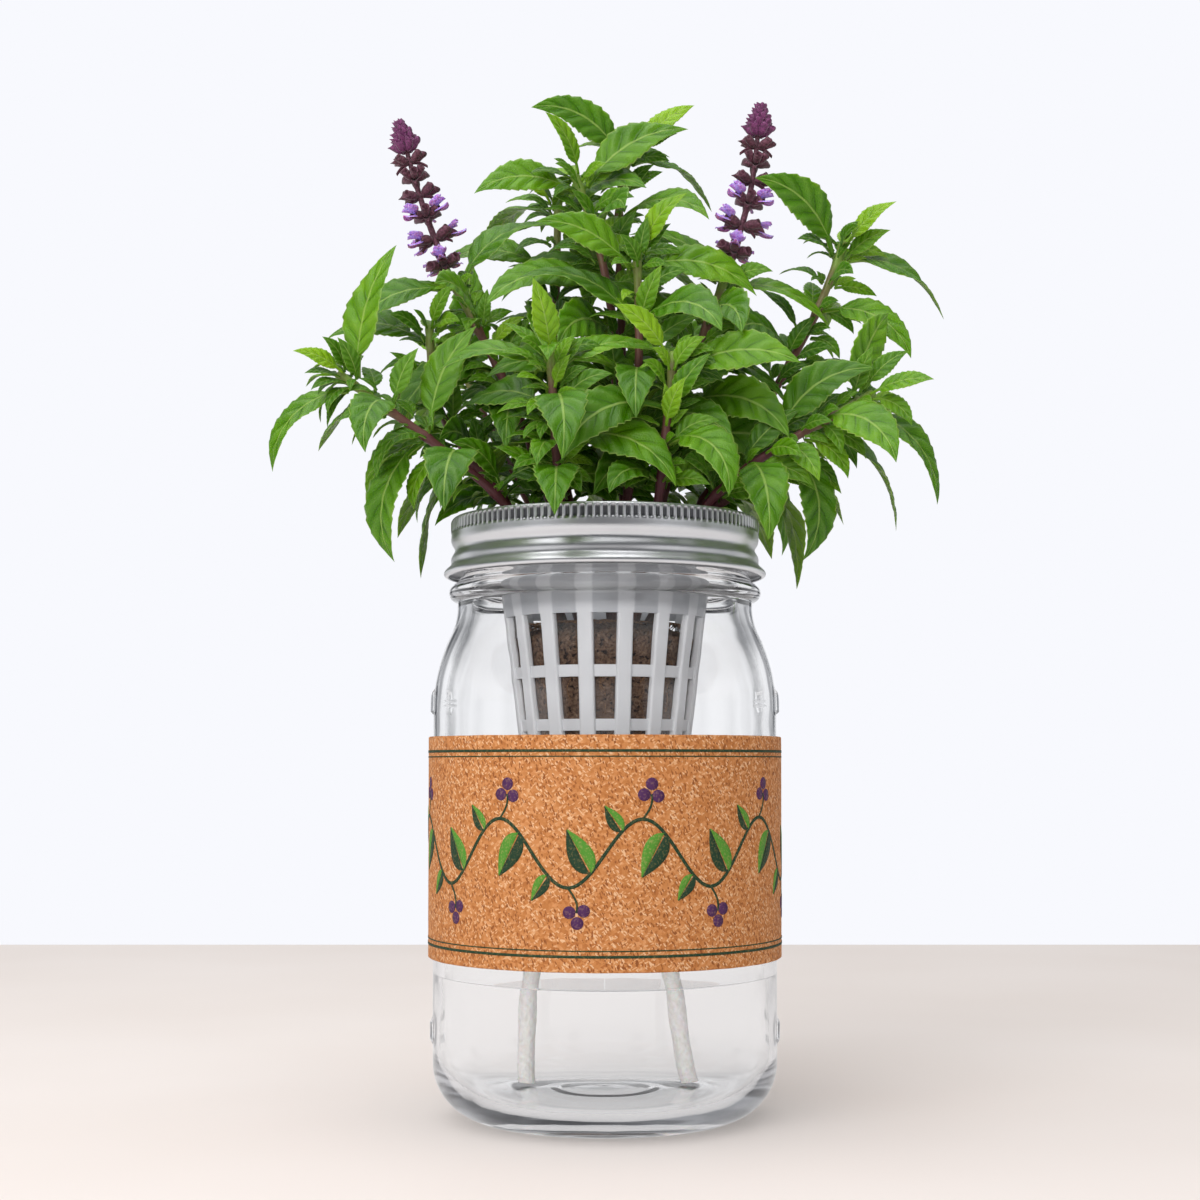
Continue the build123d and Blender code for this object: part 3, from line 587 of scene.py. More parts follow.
# White polypropylene: satin, with a mould grain drawn coarse enough to show. The collar and the webs
# over the slots are thin and let light into the cup. The webs also carry painted shade, greyer than the
# ribs.
polypropylene, tree, shader, place = new_material(
    "white_polypropylene",
    {
        "IOR": 1.49,
        "Subsurface Weight": 0.15,
        "Subsurface Radius": (0.003, 0.003, 0.003),
        "Subsurface Scale": 1.0,
    },
)
grain = add(tree, "TexNoise", {"Vector": place, "Scale": 1000 / mould_grain, "Detail": 2.0})
rough = add(tree, "MapRange", {"Value": grain, "To Min": 0.3, "To Max": 0.44})
bump = add(tree, "Bump", {"Height": grain, "Strength": 0.06, "Distance": 0.0002})
spot = add(tree, "SeparateXYZ", {"Vector": place}).outputs
collar = {"From Min": collar_bottom / 1000, "From Max": collar_thin / 1000, "To Max": collar_light}
thin = add(tree, "MapRange", {"Value": spot["Z"], **collar})
turn = add(tree, "Math", {0: spot["X"], 1: spot["Y"]}, operation="ARCTAN2")
turn = add(tree, "Math", {0: turn, 1: float(rib_count)}, operation="MULTIPLY")
between = add(tree, "Math", {0: turn}, operation="COSINE")
between = add(tree, "MapRange", {"Value": between, "From Min": -0.45, "From Max": -0.15})
above = {"From Min": slot_top / 1000, "From Max": web_start / 1000}
above = add(tree, "MapRange", {"Value": spot["Z"], **above})
painted_web_shade = add(tree, "Math", {0: between, 1: above}, operation="MULTIPLY")
# Painted shade: the webs between the ribs over the slots are coloured greyer than the ribs
web_colour_with_painted_shade = add(tree, "Mix", {0: painted_web_shade, 6: "#E8E9EC", 7: "#C4C6CA"}, data_type="RGBA")
fill(shader, {"Base Color": web_colour_with_painted_shade, "Roughness": rough, "Transmission Weight": thin, "Normal": bump})
shadow = add(tree, "LightPath").outputs["Is Shadow Ray"]
passed = add(tree, "Math", {0: shadow, 1: above}, operation="MULTIPLY")
passed = add(tree, "Math", {0: passed, 1: collar_light}, operation="MULTIPLY")
let_through(tree, shader, passed, "#F4F5F7")
net_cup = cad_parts["net_cup"]
net_cup.data.materials.clear()
net_cup.data.materials.append(polypropylene)

# Wicks: two white braided cotton cords. Each is pushed into a bore under the plug, passes the cup's
# floor and hangs to just over the jar's floor, where its cut end shows.
wick_diameter = 5.0
wick_routes = {
    "wick_left": (
        (-12.6, 0, 88.5), (-12.7, 0, 68.5), (-21.0, 1.0, 47.5), (-21.6, 0.0, 26.5), (-21.9, -1.2, 7.2)
    ),
    "wick_right": (
        (12.6, 0, 88.5), (12.7, 0, 68.5), (17.7, -1.2, 47.5), (20.4, -0.4, 26.5), (23.6, 0.8, 7.2)
    ),
}
braid_strands = 8
braid_pitch = 11.0
braid_depth = 0.1
wick_sides = 64
wick_rows = 150
line_resolution = 24
# Cotton: soft white yarn with a wet shine, its fibres drawn coarse enough to show
yarn = 1.2
cotton, tree, shader, place = new_material(
    "braided_cotton",
    {
        "Roughness": 0.5,
        "Subsurface Weight": 0.3,
        "Subsurface Scale": 0.002,
        "Coat Weight": 0.7,
        "Coat Roughness": 0.12,
    },
)
threads = add(tree, "TexNoise", {"Vector": place, "Scale": 1000 / yarn, "Detail": 4.0})
shade = add(tree, "ValToRGB", {"Fac": threads}, stops=((0.3, "#E6E2DD"), (0.6, "#F6F4F1")))
bump = add(tree, "Bump", {"Height": threads, "Strength": 0.7, "Distance": 0.0006})
fill(shader, {"Base Color": shade, "Normal": bump})


def along_frames(route):
    """Two directions square to each other and to a row of points, which don't twist along it."""
    run = np.gradient(route, axis=0)
    run /= np.linalg.norm(run, axis=1)[:, None]
    side = np.cross(run[0], (0.3, 0.9, 0.1) if abs(run[0][2]) > 0.5 else (0, 0, 1))
    sides = []
    for each in run:
        side = side - (side @ each) * each
        side = side / np.linalg.norm(side)
        sides.append(side)
    return np.array(sides), np.cross(run, sides)


def tube(route, radii, sides):
    """A closed tube round a row of points. Radii are one for each point, or one for each side too."""
    route = np.array(route, float)
    side, other = along_frames(route)
    angle = around(sides)[None, :, None]
    ring = side[:, None, :] * np.cos(angle) + other[:, None, :] * np.sin(angle)
    points = route[:, None, :] + ring * np.array(radii, float).reshape(len(route), -1, 1)
    return points.reshape(-1, 3), grid_faces(len(route), sides, wrap_columns=True)


wicks = []
for wick_name, wick_route in wick_routes.items():
    line = bpy.data.curves.new(wick_name + "_line", "CURVE")
    line.dimensions = "3D"
    line.resolution_u = line_resolution
    spline = line.splines.new("NURBS")
    spline.points.add(len(wick_route) - 1)
    for control, point in zip(spline.points, wick_route):
        control.co = (*[value * 0.001 for value in point], 1)
    spline.order_u = 3
    spline.use_endpoint_u = True
    line_object = bpy.data.objects.new(wick_name + "_line", line)
    bpy.context.scene.collection.objects.link(line_object)
    line_mesh = bpy.data.meshes.new_from_object(line_object)
    wick_path = np.array([vertex.co for vertex in line_mesh.vertices])
    bpy.data.objects.remove(line_object)
    bpy.data.meshes.remove(line_mesh)
    lengths = np.concatenate(([0], np.cumsum(np.linalg.norm(np.diff(wick_path, axis=0), axis=1))))
    even = np.linspace(0, lengths[-1], wick_rows)
    smooth_path = np.stack([np.interp(even, lengths, wick_path[:, axis]) for axis in range(3)], axis=1)
    down = even[:, None] * 1000
    wind = down / braid_pitch * 2 * pi * braid_strands / 2
    angle = around(wick_sides)[None, :]
    over = np.abs(np.sin((angle * braid_strands + wind) / 2))
    under = np.abs(np.sin((angle * braid_strands - wind) / 2))
    braid = 1 - braid_depth * (1 - np.maximum(over, under))
    wear = 1 + 0.06 * np.sin(down / 6 + angle) + 0.05 * np.sin(down / 2.3) * np.cos(2 * angle + down / 9)
    points, faces = tube(smooth_path * 1000, wick_diameter / 2 * braid * wear, wick_sides)
    wick = make_piece("cotton_" + wick_name, points, faces, cotton)
    wicks.append(wick)
    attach(wick, "insert")
    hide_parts(wick_name)

# Grow plug: coconut fibre and peat pressed into a cone that stands in the cup. It swells a little
# between the ribs, and loose fibres show on its top and sides.
plug_bottom = 77.5
plug_top = 137.4
plug_low_radius = 18.36
plug_high_radius = 25.79
plug_edge = 3.0
plug_dome = 2.4
plug_spacing = 1.0
plug_steps = 192
plug_swell = 0.5
plug_lumps = 0.55
plug_top_lumps = 1.1
lump_size = 2.6
fine_lump_size = 1.1
fibre_count = 420
fibre_radius = 0.11
fibre_lengths = (4, 11)
fibre_bow = 0.25
fibre_lift = 0.8
fibre_points = 6
fibre_sides = 4
side_slope = 0.124
side_lift = 0.55
plug_profile = softened(
    [
        (pole, plug_bottom),
        (plug_low_radius, plug_bottom),
        (plug_high_radius - 0.35, plug_top - plug_edge),
        *arc((plug_high_radius - plug_edge, plug_top - plug_edge), plug_edge, 10, 85, 6),
        (plug_high_radius / 2, plug_top + 0.75 * plug_dome),
        (pole, plug_top + plug_dome),
    ],
    plug_spacing,
)
plug_points, plug_faces = turned(plug_profile, plug_steps)
for index, point in enumerate(plug_points):
    reach = np.hypot(point[0], point[1])
    spot = Vector(point)
    lump = noise.noise(spot / lump_size) + 0.6 * noise.noise(spot / fine_lump_size)
    if point[2] > plug_top - 1.2:
        plug_points[index, 2] += plug_top_lumps * (lump - 0.4) * min(1, reach / 4)
    elif reach > plug_low_radius - 1 and point[2] > plug_bottom + 1:
        between = 0.5 + 0.5 * cos(rib_count * (np.arctan2(point[1], point[0]) + pi / 2))
        bulge = plug_swell * between + plug_lumps * min(lump, 0.15 + between) * (0.3 + between)
        plug_points[index, :2] *= 1 + bulge / reach

# Coir: dark brown fibre and peat, matt and full of pits that are darkened with painted shade, with paler
# strands
crumb = 0.8
crumb_colours = ((0.3, "#33221A"), (0.48, "#5F4838"), (0.6, "#7A614E"), (0.75, "#A58B73"))
pit = 1.3
strand = 0.5
coir, tree, shader, place = new_material("pressed_coir", {"Roughness": 0.95, "Specular IOR Level": 0.15})
crumbs = add(tree, "TexNoise", {"Vector": place, "Scale": 1000 / crumb, "Detail": 6.0, "Roughness": 0.7})
shade = add(tree, "ValToRGB", {"Fac": crumbs}, stops=crumb_colours)
pits = add(tree, "TexNoise", {"Vector": place, "Scale": 1000 / pit, "Detail": 1.0})
# Painted shade: the open pits are darkened in colour as well as sunk in the bump
open_pit = add(tree, "MapRange", {"Value": pits, "From Min": 0.4, "From Max": 0.32})
pit_shaded_colour = add(tree, "Mix", {0: open_pit, 6: shade, 7: "#2A1B14"}, data_type="RGBA")
height = add(tree, "Math", {0: crumbs, 1: open_pit}, operation="SUBTRACT")
bump = add(tree, "Bump", {"Height": height, "Strength": 0.9, "Distance": 0.0006})
fill(shader, {"Base Color": pit_shaded_colour, "Normal": bump})
fibre_finish, tree, shader, place = new_material(
    "coir_fibre", {"Roughness": 0.8, "Specular IOR Level": 0.2}
)
streaks = add(tree, "TexNoise", {"Vector": place, "Scale": 1000 / strand})
shade = add(tree, "ValToRGB", {"Fac": streaks}, stops=((0.3, "#4A2E1C"), (0.7, "#A37A52")))
fill(shader, {"Base Color": shade})

plug_meshes = [(plug_points, plug_faces, 0)]
share = np.linspace(-0.5, 0.5, fibre_points)
arch = 1 - 4 * share**2
draw = np.random.default_rng(7)
for fibre in range(fibre_count):
    bearing = draw.uniform(0, 2 * pi)
    heading = draw.uniform(0, 2 * pi)
    length = draw.uniform(*fibre_lengths)
    ahead = share * length
    aside = draw.uniform(-fibre_bow, fibre_bow) * length * arch
    if fibre % 3:
        reach = (plug_high_radius - 4) * np.sqrt(draw.uniform(0, 1))
        mound = plug_dome * (1 - (reach / plug_high_radius) ** 2)
        middle = np.array((reach * cos(bearing), reach * sin(bearing), plug_top + mound))
        run_x = ahead * cos(heading) - aside * sin(heading)
        run_y = ahead * sin(heading) + aside * cos(heading)
        route = middle + np.stack((run_x, run_y, fibre_lift * arch), axis=1)
        route[:, :2] *= np.minimum(1, (plug_high_radius - 2) / np.hypot(route[:, 0], route[:, 1]))[:, None]
    else:
        gap = np.floor(bearing / (2 * pi) * rib_count) * 2 * pi / rib_count - pi / 2
        up = draw.uniform(plug_bottom + 8, plug_top - 8) + ahead * 0.55
        turn = gap + aside / 24
        reach = plug_low_radius + (up - plug_bottom) * side_slope + side_lift
        route = np.stack((reach * np.cos(turn), reach * np.sin(turn), up), axis=1)
    plug_meshes.append((*tube(route, np.full(fibre_points, fibre_radius), fibre_sides), 1))
points, faces, finishes = joined(plug_meshes)
plug = make_piece("coir_plug", points, faces, coir, fibre_finish, finishes=finishes)
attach(plug, "plant")
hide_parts("grow_plug")

# Screw band: one sheet of aluminium, pressed and rolled, with a lip over the cup's flange, a fluted
# grip at the top edge, a thread groove and a flared skirt with a curled edge.
band_sheet = 0.45
band_lip_radius = 38.4
band_radius = 44.0
band_top = 170.4
band_bottom = 153.4
band_shoulder = 1.1
groove_level = 161.3
groove_depth = 1.05
groove_half = 1.9
flare_start = 157.2
flare_radius = 46.2
flare_level = 155.2
curl_radius = 0.9
flute_count = 134
flute_depth = 0.75
flute_top = 169.7
flute_bottom = 166.0
flute_samples = 10
band_spacing = 0.3
band_steps = flute_count * flute_samples
band_outside = softened(
    [
        (band_lip_radius, band_top),
        (band_radius - band_shoulder, band_top),
        *arc((band_radius - band_shoulder, band_top - band_shoulder), band_shoulder, 80, 0, 5),
        (band_radius, flute_bottom - 0.6),
        (band_radius + 0.1, groove_level + groove_half + 0.9),
        (band_radius - 0.1, groove_level + groove_half),
        (band_radius - groove_depth, groove_level + 0.35),
        (band_radius - groove_depth, groove_level - 0.35),
        (band_radius - 0.1, groove_level - groove_half),
        (band_radius + 0.15, groove_level - groove_half - 0.8),
        (band_radius, flare_start + 0.4),
        (band_radius + 0.25, flare_start - 0.4),
        (flare_radius - 0.6, flare_level + 0.45),
        *arc((flare_radius - curl_radius, flare_level - curl_radius + 0.3), curl_radius, 60, -60, 7),
        (flare_radius - 1.3, band_bottom + 0.15),
    ],
    band_spacing,
)
band_run = np.gradient(band_outside, axis=0)
band_run /= np.linalg.norm(band_run, axis=1)[:, None]
band_inside = band_outside + band_sheet * np.stack((band_run[:, 1], -band_run[:, 0]), axis=1)
band_loop = np.concatenate((band_outside[::-1], band_inside))
band_level = band_loop[:, 1:2]
flute_window = np.clip((flute_top - band_level) / 0.5, 0, 1)
flute_window = flute_window * np.clip((band_level - flute_bottom) / 0.7, 0, 1)
flute_window = flute_window * (band_loop[:, :1] > band_radius - band_sheet - 0.4)
flute_wave = np.abs(np.cos(flute_count / 2 * around(band_steps)))[None, :]
band_push = flute_depth * flute_window * (flute_wave**3 - 0.8)
# Rolled aluminium: satin, with faint lines round the band from rolling, drawn coarse enough to show,
# smudges from handling, and painted shade that darkens the slots between the flutes
roll_line = 0.25
line_draw = 4.0
smudge_size = 11.11
aluminium, tree, shader, place = new_material("rolled_aluminium", {"Metallic": 1.0})
spot = add(tree, "SeparateXYZ", {"Vector": place}).outputs
turn = add(tree, "Math", {0: spot["X"], 1: spot["Y"]}, operation="ARCTAN2")
drawn = add(tree, "Math", {0: turn, 1: line_draw / 1000}, operation="MULTIPLY")
lines_place = add(tree, "CombineXYZ", {"X": drawn, "Y": spot["Z"], "Z": 0.0})
lines = add(tree, "TexNoise", {"Vector": lines_place, "Scale": 1000 / roll_line, "Detail": 2.0})
smudge = add(tree, "TexNoise", {"Vector": place, "Scale": 1000 / smudge_size, "Detail": 2.0})
both = add(tree, "Math", {0: lines, 1: smudge}, operation="ADD")
satin = {"From Min": 0.6, "From Max": 1.4, "To Min": 0.32, "To Max": 0.46}
rough = add(tree, "MapRange", {"Value": both, **satin})
bump = add(tree, "Bump", {"Height": lines, "Strength": 0.08, "Distance": 0.0001})
# Painted shade: a darker metal colour in the slots between the flutes
painted_slot_shade = add(tree, "Attribute", attribute_name="painted_slot_shade").outputs["Fac"]
metal_colour = add(tree, "Mix", {0: painted_slot_shade, 6: "#E4E5E7", 7: "#6A6B6E"}, data_type="RGBA")
fill(shader, {"Base Color": metal_colour, "Roughness": rough, "Normal": bump})


def set_attribute(piece, name, kind, values):
    """Store a value for each point of a piece's mesh, for its material to read."""
    stored = piece.data.attributes.new(name, kind, "POINT")
    field = "vector" if kind == "FLOAT_VECTOR" else "value"
    stored.data.foreach_set(field, np.array(values, np.float32).ravel())


band = make_piece("aluminium_band", *turned(band_loop, band_steps, band_push, closed=True), aluminium)
# Painted shade for the slots between the flutes, stored for the material to read
set_attribute(band, "painted_slot_shade", "FLOAT", np.clip(3.0 - 3.4 * flute_wave, 0, 1) * flute_window)
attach(band, "band")
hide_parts("screw_band")

# Basil stems: fifteen slightly square shoots rooted in the plug, woody brown at the foot, purple
# above and green near the tips, with a swollen joint at each pair of leaves.
flange_top = 169.8
cup_opening = 33.0
mouth_clearance = 2.0
stem_radius = 1.4
stem_taper = 0.22
stem_squareness = 0.06
leaf_seat_gap = 0.3
arc_share = 0.45
stem_sides = 12
stem_step = 1.2
joint_swell = 0.3
joint_reach = 1.6
joint_most = 1.2
first_leaf_rise = 7.0
crown_drop = 4.0
whorl_radius = 5.0
# Where each stem leaves the plug and the cup (share of the opening, direction in degrees), its leaf
# pairs, the first pair's turn, and its bends and flower spike over the cup's flange
stems = {
    "low_left": dict(
        base=(0.56, 214), mouth=(0.86, 208), pairs=5, turn=8,
        bends=((-46, -19, 19), (-74, -24, 38.5)),
    ),
    "flower_left": dict(
        base=(0.30, 157), mouth=(0.43, 168), pairs=6, turn=100,
        bends=((-27, 3, 38), (-46, 3, 74)),
        spike=((-53.5, 2.5, 94), (-60, 2, 117.5)),
    ),
    "front": dict(
        base=(0.59, 247), mouth=(0.74, 239), pairs=4, turn=95,
        bends=((-14, -27, 25), (-15, -29, 44)),
    ),
    "centre": dict(
        base=(0.14, 56), mouth=(0.12, 90), pairs=7, turn=15,
        bends=((4, 4, 50), (-1, 5, 80), (-9, 5, 103)),
    ),
    "centre_back": dict(
        base=(0.52, 63), mouth=(0.46, 67), pairs=7, turn=45,
        bends=((5, 15, 60), (4, 14, 98), (8, 13, 114)),
    ),
    "flower_right": dict(
        base=(0.33, 339), mouth=(0.50, 346), pairs=6, turn=100,
        bends=((21, -4, 35), (36, -3, 74)),
        spike=((42.5, -2.5, 96), (45, -2, 121)),
    ),
    "right": dict(
        base=(0.59, 23), mouth=(0.78, 18), pairs=6, turn=105,
        bends=((46, 8, 33), (62, 7, 62), (70, 6, 83)),
    ),
    "low_right": dict(
        base=(0.58, 323), mouth=(0.88, 333), pairs=5, turn=-8,
        bends=((44, -16, 17), (75, -18, 34)),
    ),
    "tall_back": dict(
        base=(0.55, 115), mouth=(0.65, 118), pairs=6, turn=35,
        bends=((-15, 22, 45), (-14, 22, 100)),
    ),
    "left": dict(
        base=(0.59, 172), mouth=(0.76, 175), pairs=5, turn=10,
        bends=((-40, 2, 20), (-50, 3, 36), (-51, 4, 58)),
    ),
    "short_right": dict(
        base=(0.59, 352), mouth=(0.85, 354), pairs=3, turn=80,
        bends=((42, -4, 11), (53, -4, 18)),
    ),
    "inner": dict(
        base=(0.33, 291), mouth=(0.35, 301), pairs=5, turn=45,
        bends=((10, -11, 45), (9, -12, 76)),
    ),
    "front_right": dict(
        base=(0.62, 300), mouth=(0.78, 305), pairs=4, turn=45,
        bends=((17, -25, 25), (19, -26, 44)),
    ),
    "back_right": dict(
        base=(0.66, 83), mouth=(0.80, 81), pairs=4, turn=30,
        bends=((9, 42, 30), (14, 55, 60)),
    ),
    "back_left": dict(
        base=(0.66, 135), mouth=(0.84, 132), pairs=4, turn=55,
        bends=((-32, 36, 26), (-44, 48, 54)),
    ),
}


def unit(vector):
    """A vector's direction."""
    return vector / np.linalg.norm(vector)


def polar_point(share, angle, opening, height):
    """A point at a share of an opening's radius, in a direction in degrees."""
    reach = share * opening
    return np.array((reach * cos(radians(angle)), reach * sin(radians(angle)), height))


def over_flange(points):
    """Points that are given from the cup's flange up."""
    return [np.array(point) + (0, 0, flange_top) for point in points]


def stem_points(stem):
    """The points of a stem from the plug's top to its last leaf pair."""
    base = polar_point(*stem["base"], plug_high_radius, plug_top)
    mouth = polar_point(*stem["mouth"], cup_opening, flange_top + mouth_clearance)
    lean = unit(mouth - base)
    base[2] += leaf_seat_gap + stem_radius * np.hypot(lean[0], lean[1])
    return [base, mouth, *over_flange(stem["bends"])]


def route_pieces(points):
    """A rounded route's runs and arcs: start, direction, direction of turn, bend per length, length."""
    pieces = []
    start = points[0]
    straight = np.zeros(3)
    for before, corner, after in zip(points, points[1:], points[2:]):
        run_in = unit(corner - before)
        run_out = unit(after - corner)
        cut = arc_share * min(np.linalg.norm(corner - before), np.linalg.norm(after - corner))
        turn = acos(run_in @ run_out)
        arc_start = corner - cut * run_in
        pieces.append((start, run_in, straight, 0.0, np.linalg.norm(arc_start - start)))
        inward = unit(run_out - (run_out @ run_in) * run_in)
        bend = tan(turn / 2) / cut
        pieces.append((arc_start, run_in, inward, bend, turn / bend))
        start = corner + cut * run_out
    end = points[-1]
    pieces.append((start, unit(end - start), straight, 0.0, np.linalg.norm(end - start)))
    return pieces


def route_length(pieces):
    """The length of a rounded route."""
    return sum(piece[4] for piece in pieces)


def along(pieces, distance):
    """The point and the direction at a distance along a rounded route."""
    for start, run, inward, bend, length in pieces:
        if distance <= length:
            break
        distance -= length
    turn = bend * distance
    if turn == 0:
        return start + distance * run, run
    point = start + (sin(turn) * run + (1 - cos(turn)) * inward) / bend
    return point, cos(turn) * run + sin(turn) * inward


def stem_joints(name):
    """Where a stem's leaf pairs sit: reach, place, direction, turn, rise, and if it is the crown."""
    stem = stems[name]
    points = stem_points(stem)
    lowest = np.linalg.norm(points[1] - points[0]) + first_leaf_rise
    highest = route_length(routes[name]) - stem_radius
    crowned = "spike" not in stem
    if not crowned:
        highest -= whorl_radius
    found = []
    for pair in range(stem["pairs"] + crowned):
        crown = pair == stem["pairs"]
        rise = min(1, pair / (stem["pairs"] - 1))
        reach = lowest + rise * (highest - crown_drop * (crowned - crown) - lowest)
        found.append((reach, *along(routes[name], reach), stem["turn"] + 90 * pair, rise, crown))
    return found


# Basil stem: woody at the foot, then purple skin with fine ridges, greener where it is young
ridge = 0.5
stem_blotch = 6.25
stem_colours = (
    (0.0, "#4B2E1C"),
    (0.25, "#5A2A26"),
    (0.55, "#66303C"),
    (0.8, "#6F4A3C"),
    (0.93, "#75803C"),
    (1.0, "#7FA040"),
)
stem_finish, tree, shader, place = new_material(
    "basil_stem", {"Roughness": 0.5, "Subsurface Weight": 0.05, "Subsurface Scale": 0.001}
)
height = add(tree, "Attribute", attribute_name="stem_share").outputs["Fac"]
blotch = add(tree, "TexNoise", {"Vector": place, "Scale": 1000 / stem_blotch, "Detail": 3.0})
shift = add(tree, "MapRange", {"Value": blotch, "To Min": -0.16, "To Max": 0.16})
reach = add(tree, "Math", {0: height, 1: shift}, operation="ADD")
shade = add(tree, "ValToRGB", {"Fac": reach}, stops=stem_colours)
ridges = add(tree, "TexNoise", {"Vector": place, "Scale": 1000 / ridge, "Detail": 2.0})
bump = add(tree, "Bump", {"Height": ridges, "Strength": 0.3, "Distance": 0.0003})
fill(shader, {"Base Color": shade, "Normal": bump})

routes = {name: route_pieces(stem_points(stem)) for name, stem in stems.items()}
joints = {name: stem_joints(name) for name in stems}
square = 1 + stem_squareness * np.cos(4 * around(stem_sides))
just_short = 1e-6
for name in stems:
    total = route_length(routes[name])
    steps = np.linspace(0, total, int(total / stem_step))
    line = [along(routes[name], min(step, total - just_short))[0] for step in steps]
    swell = sum(np.exp(-(((steps - joint[0]) / joint_reach) ** 2)) for joint in joints[name])
    radii = stem_radius * (1.0 - stem_taper * steps / total) + joint_swell * np.minimum(swell, joint_most)
    points, faces = tube(line, radii[:, None] * square[None, :], stem_sides)
    stalk = make_piece("basil_stem_" + name, points, faces, stem_finish)
    set_attribute(stalk, "stem_share", "FLOAT", np.repeat(steps / total, stem_sides))
    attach(stalk, "plant")
    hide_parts("stem_" + name)

# Basil leaves: ovate, toothed and veined blades in crossed pairs, each on a short stalk at a joint of
# its stem. They turn to the light at the front and droop. Small young leaves sit in the joints.
leaf_length = 39.0
leaf_width = 13.4
petiole_width = 1.8
petiole_share = 0.16
blade_handles = ((0.3, 0.8), (0.75, 0.5))
blade_swell = 0.75
blade_fullness = 0.9
leaf_room = 2.3
leaf_grid_rows = 18
leaf_grid_start = 0.06
stem_mark_step = 2.0
stem_room = 1.7
band_room = 3.0
band_lip_height = 170.175
band_reach = 45.975
light_direction = (0, -0.97, 0.24)
light_pull = 2.0
sag_share = 0.7
least_bend = radians(20)
least_spread = radians(22)
least_lean = radians(17.5)
# Rules of growth: at the lowest pair, up the stem, in the crown, then a sway with its step and start
leaf_spread = (78, -32, -16, 8, 3.1, pi / 2)
leaf_fall = (122, -30, -45, 16, 1.7, 0)
leaf_roll = (0, 0, 0, 14, 4.3, 0)
leaf_growth = (1, -0.1, -0.45, 0.1, 1.9, pi / 2)
leaf_turn_sway = (10, 2.4)
leaf_shrinks = (1, 0.85, 0.7)
leaf_lifts = (0, -14, 14, -28)
leaf_swings = (0, 14, -14, 28, -28, 42, -42)
youth_up_stem = 0.25
youth_in_crown = 0.35
shoot_leaves = 7
shoot_length = 16.0
shoot_spread = (46, 0, 0, 22, 1.3, 0)
shoot_fall = (70, 0, 0, 30, 0.7, 0)
shoot_growth = (1, 0, 0, 0.45, 2.7, 0)
shoot_shrink = 0.3
shoot_roll = 0.3
shoot_room = 0.9
shoot_trials = ((0, 1), (18, 0.85), (-18, 0.85), (0, 0.6))
shoot_youth = (0.24, 0.22)


def half_width(share, width):
    """Half a leaf's width at a share of its length: a narrow petiole and an ovate blade."""
    if share <= petiole_share:
        return petiole_width / 2
    blade = (share - petiole_share) / (1 - petiole_share)
    ovate = sin(pi * blade**blade_swell) ** blade_fullness
    return max(petiole_width / 2 * (1 - blade), width / 2 * ovate)


def leaf_shape(place, direction, turn, spread, roll, fall, length):
    """A leaf on a stem: its foot, first direction, upper side, bend away from that side, sag along
    its own plane, and length. It faces the light, and its weight bends it down."""
    sideways = unit(np.array((-direction[2], 0, direction[0])))
    toward = np.cross(direction, sideways)
    outward = cos(turn) * sideways + sin(turn) * toward
    run = unit(cos(spread) * direction + sin(spread) * outward)
    level = np.cross(run, (0, 0, 1))
    if np.linalg.norm(level) < sin(least_lean):
        level = np.cross(outward, (0, 0, 1))
    level = unit(level - (level @ run) * run)
    upper = np.cross(level, run)
    light = np.array(light_direction)
    upper = unit(upper + light_pull * (light - (light @ run) * run))
    upper = cos(roll) * upper + sin(roll) * np.cross(run, upper)
    down = unit(np.array((0, 0, -1)) + run[2] * run)
    bend = max(least_bend, -fall * (down @ upper))
    sag = sag_share * fall * (down @ np.cross(upper, run))
    foot = place + outward * (stem_radius + leaf_seat_gap + petiole_width / 2 * cos(spread))
    return foot, run, upper, bend, sag, length


def blade_points(shape, share, aside, lift):
    """Points of a leaf at shares of its length, distances aside from its midrib and over its blade."""
    foot, run, upper, bend, sag, length = shape
    across = np.cross(upper, run)
    turn = sag * share
    ahead = length * share * np.sinc(turn / pi) - aside * np.sin(turn)
    sideways = length * share * np.sinc(turn / 2 / pi) * np.sin(turn / 2) + aside * np.cos(turn)
    curl = (bend * ahead / length)[..., None]
    middle = (np.sin(curl) * run - (1 - np.cos(curl)) * upper) * length / bend
    above = np.sin(curl) * run + np.cos(curl) * upper
    return foot + middle + sideways[..., None] * across + lift[..., None] * above


grid_shares = np.linspace(leaf_grid_start, 1, leaf_grid_rows)
grid_sides = np.array((-1, -0.5, 0, 0.5, 1))


def leaf_grid(shape):
    """Points on a leaf's blade, for keeping leaves apart."""
    width = leaf_width * shape[5] / leaf_length
    reach = np.array([half_width(share, width) for share in grid_shares])
    aside = reach[:, None] * grid_sides
    share = grid_shares[:, None] + 0 * aside
    return blade_points(shape, share, aside, 0 * aside).reshape(-1, 3)


def clear_of(grid, others, room):
    """Whether a leaf's points keep a distance from other points."""
    inside = (others > grid.min(axis=0) - room) & (others < grid.max(axis=0) + room)
    near = others[inside.all(axis=1)]
    if len(near) == 0:
        return True
    gaps = np.linalg.norm(grid[:, None, :] - near[None, :, :], axis=2)
    return gaps.min() > room


def above_band(grid):
    """Whether a leaf stays over the screw band or hangs outside it."""
    reach = np.hypot(grid[:, 0], grid[:, 1])
    low = grid[:, 2] < band_lip_height + band_room
    return not np.any(low & (reach < band_reach + band_room))


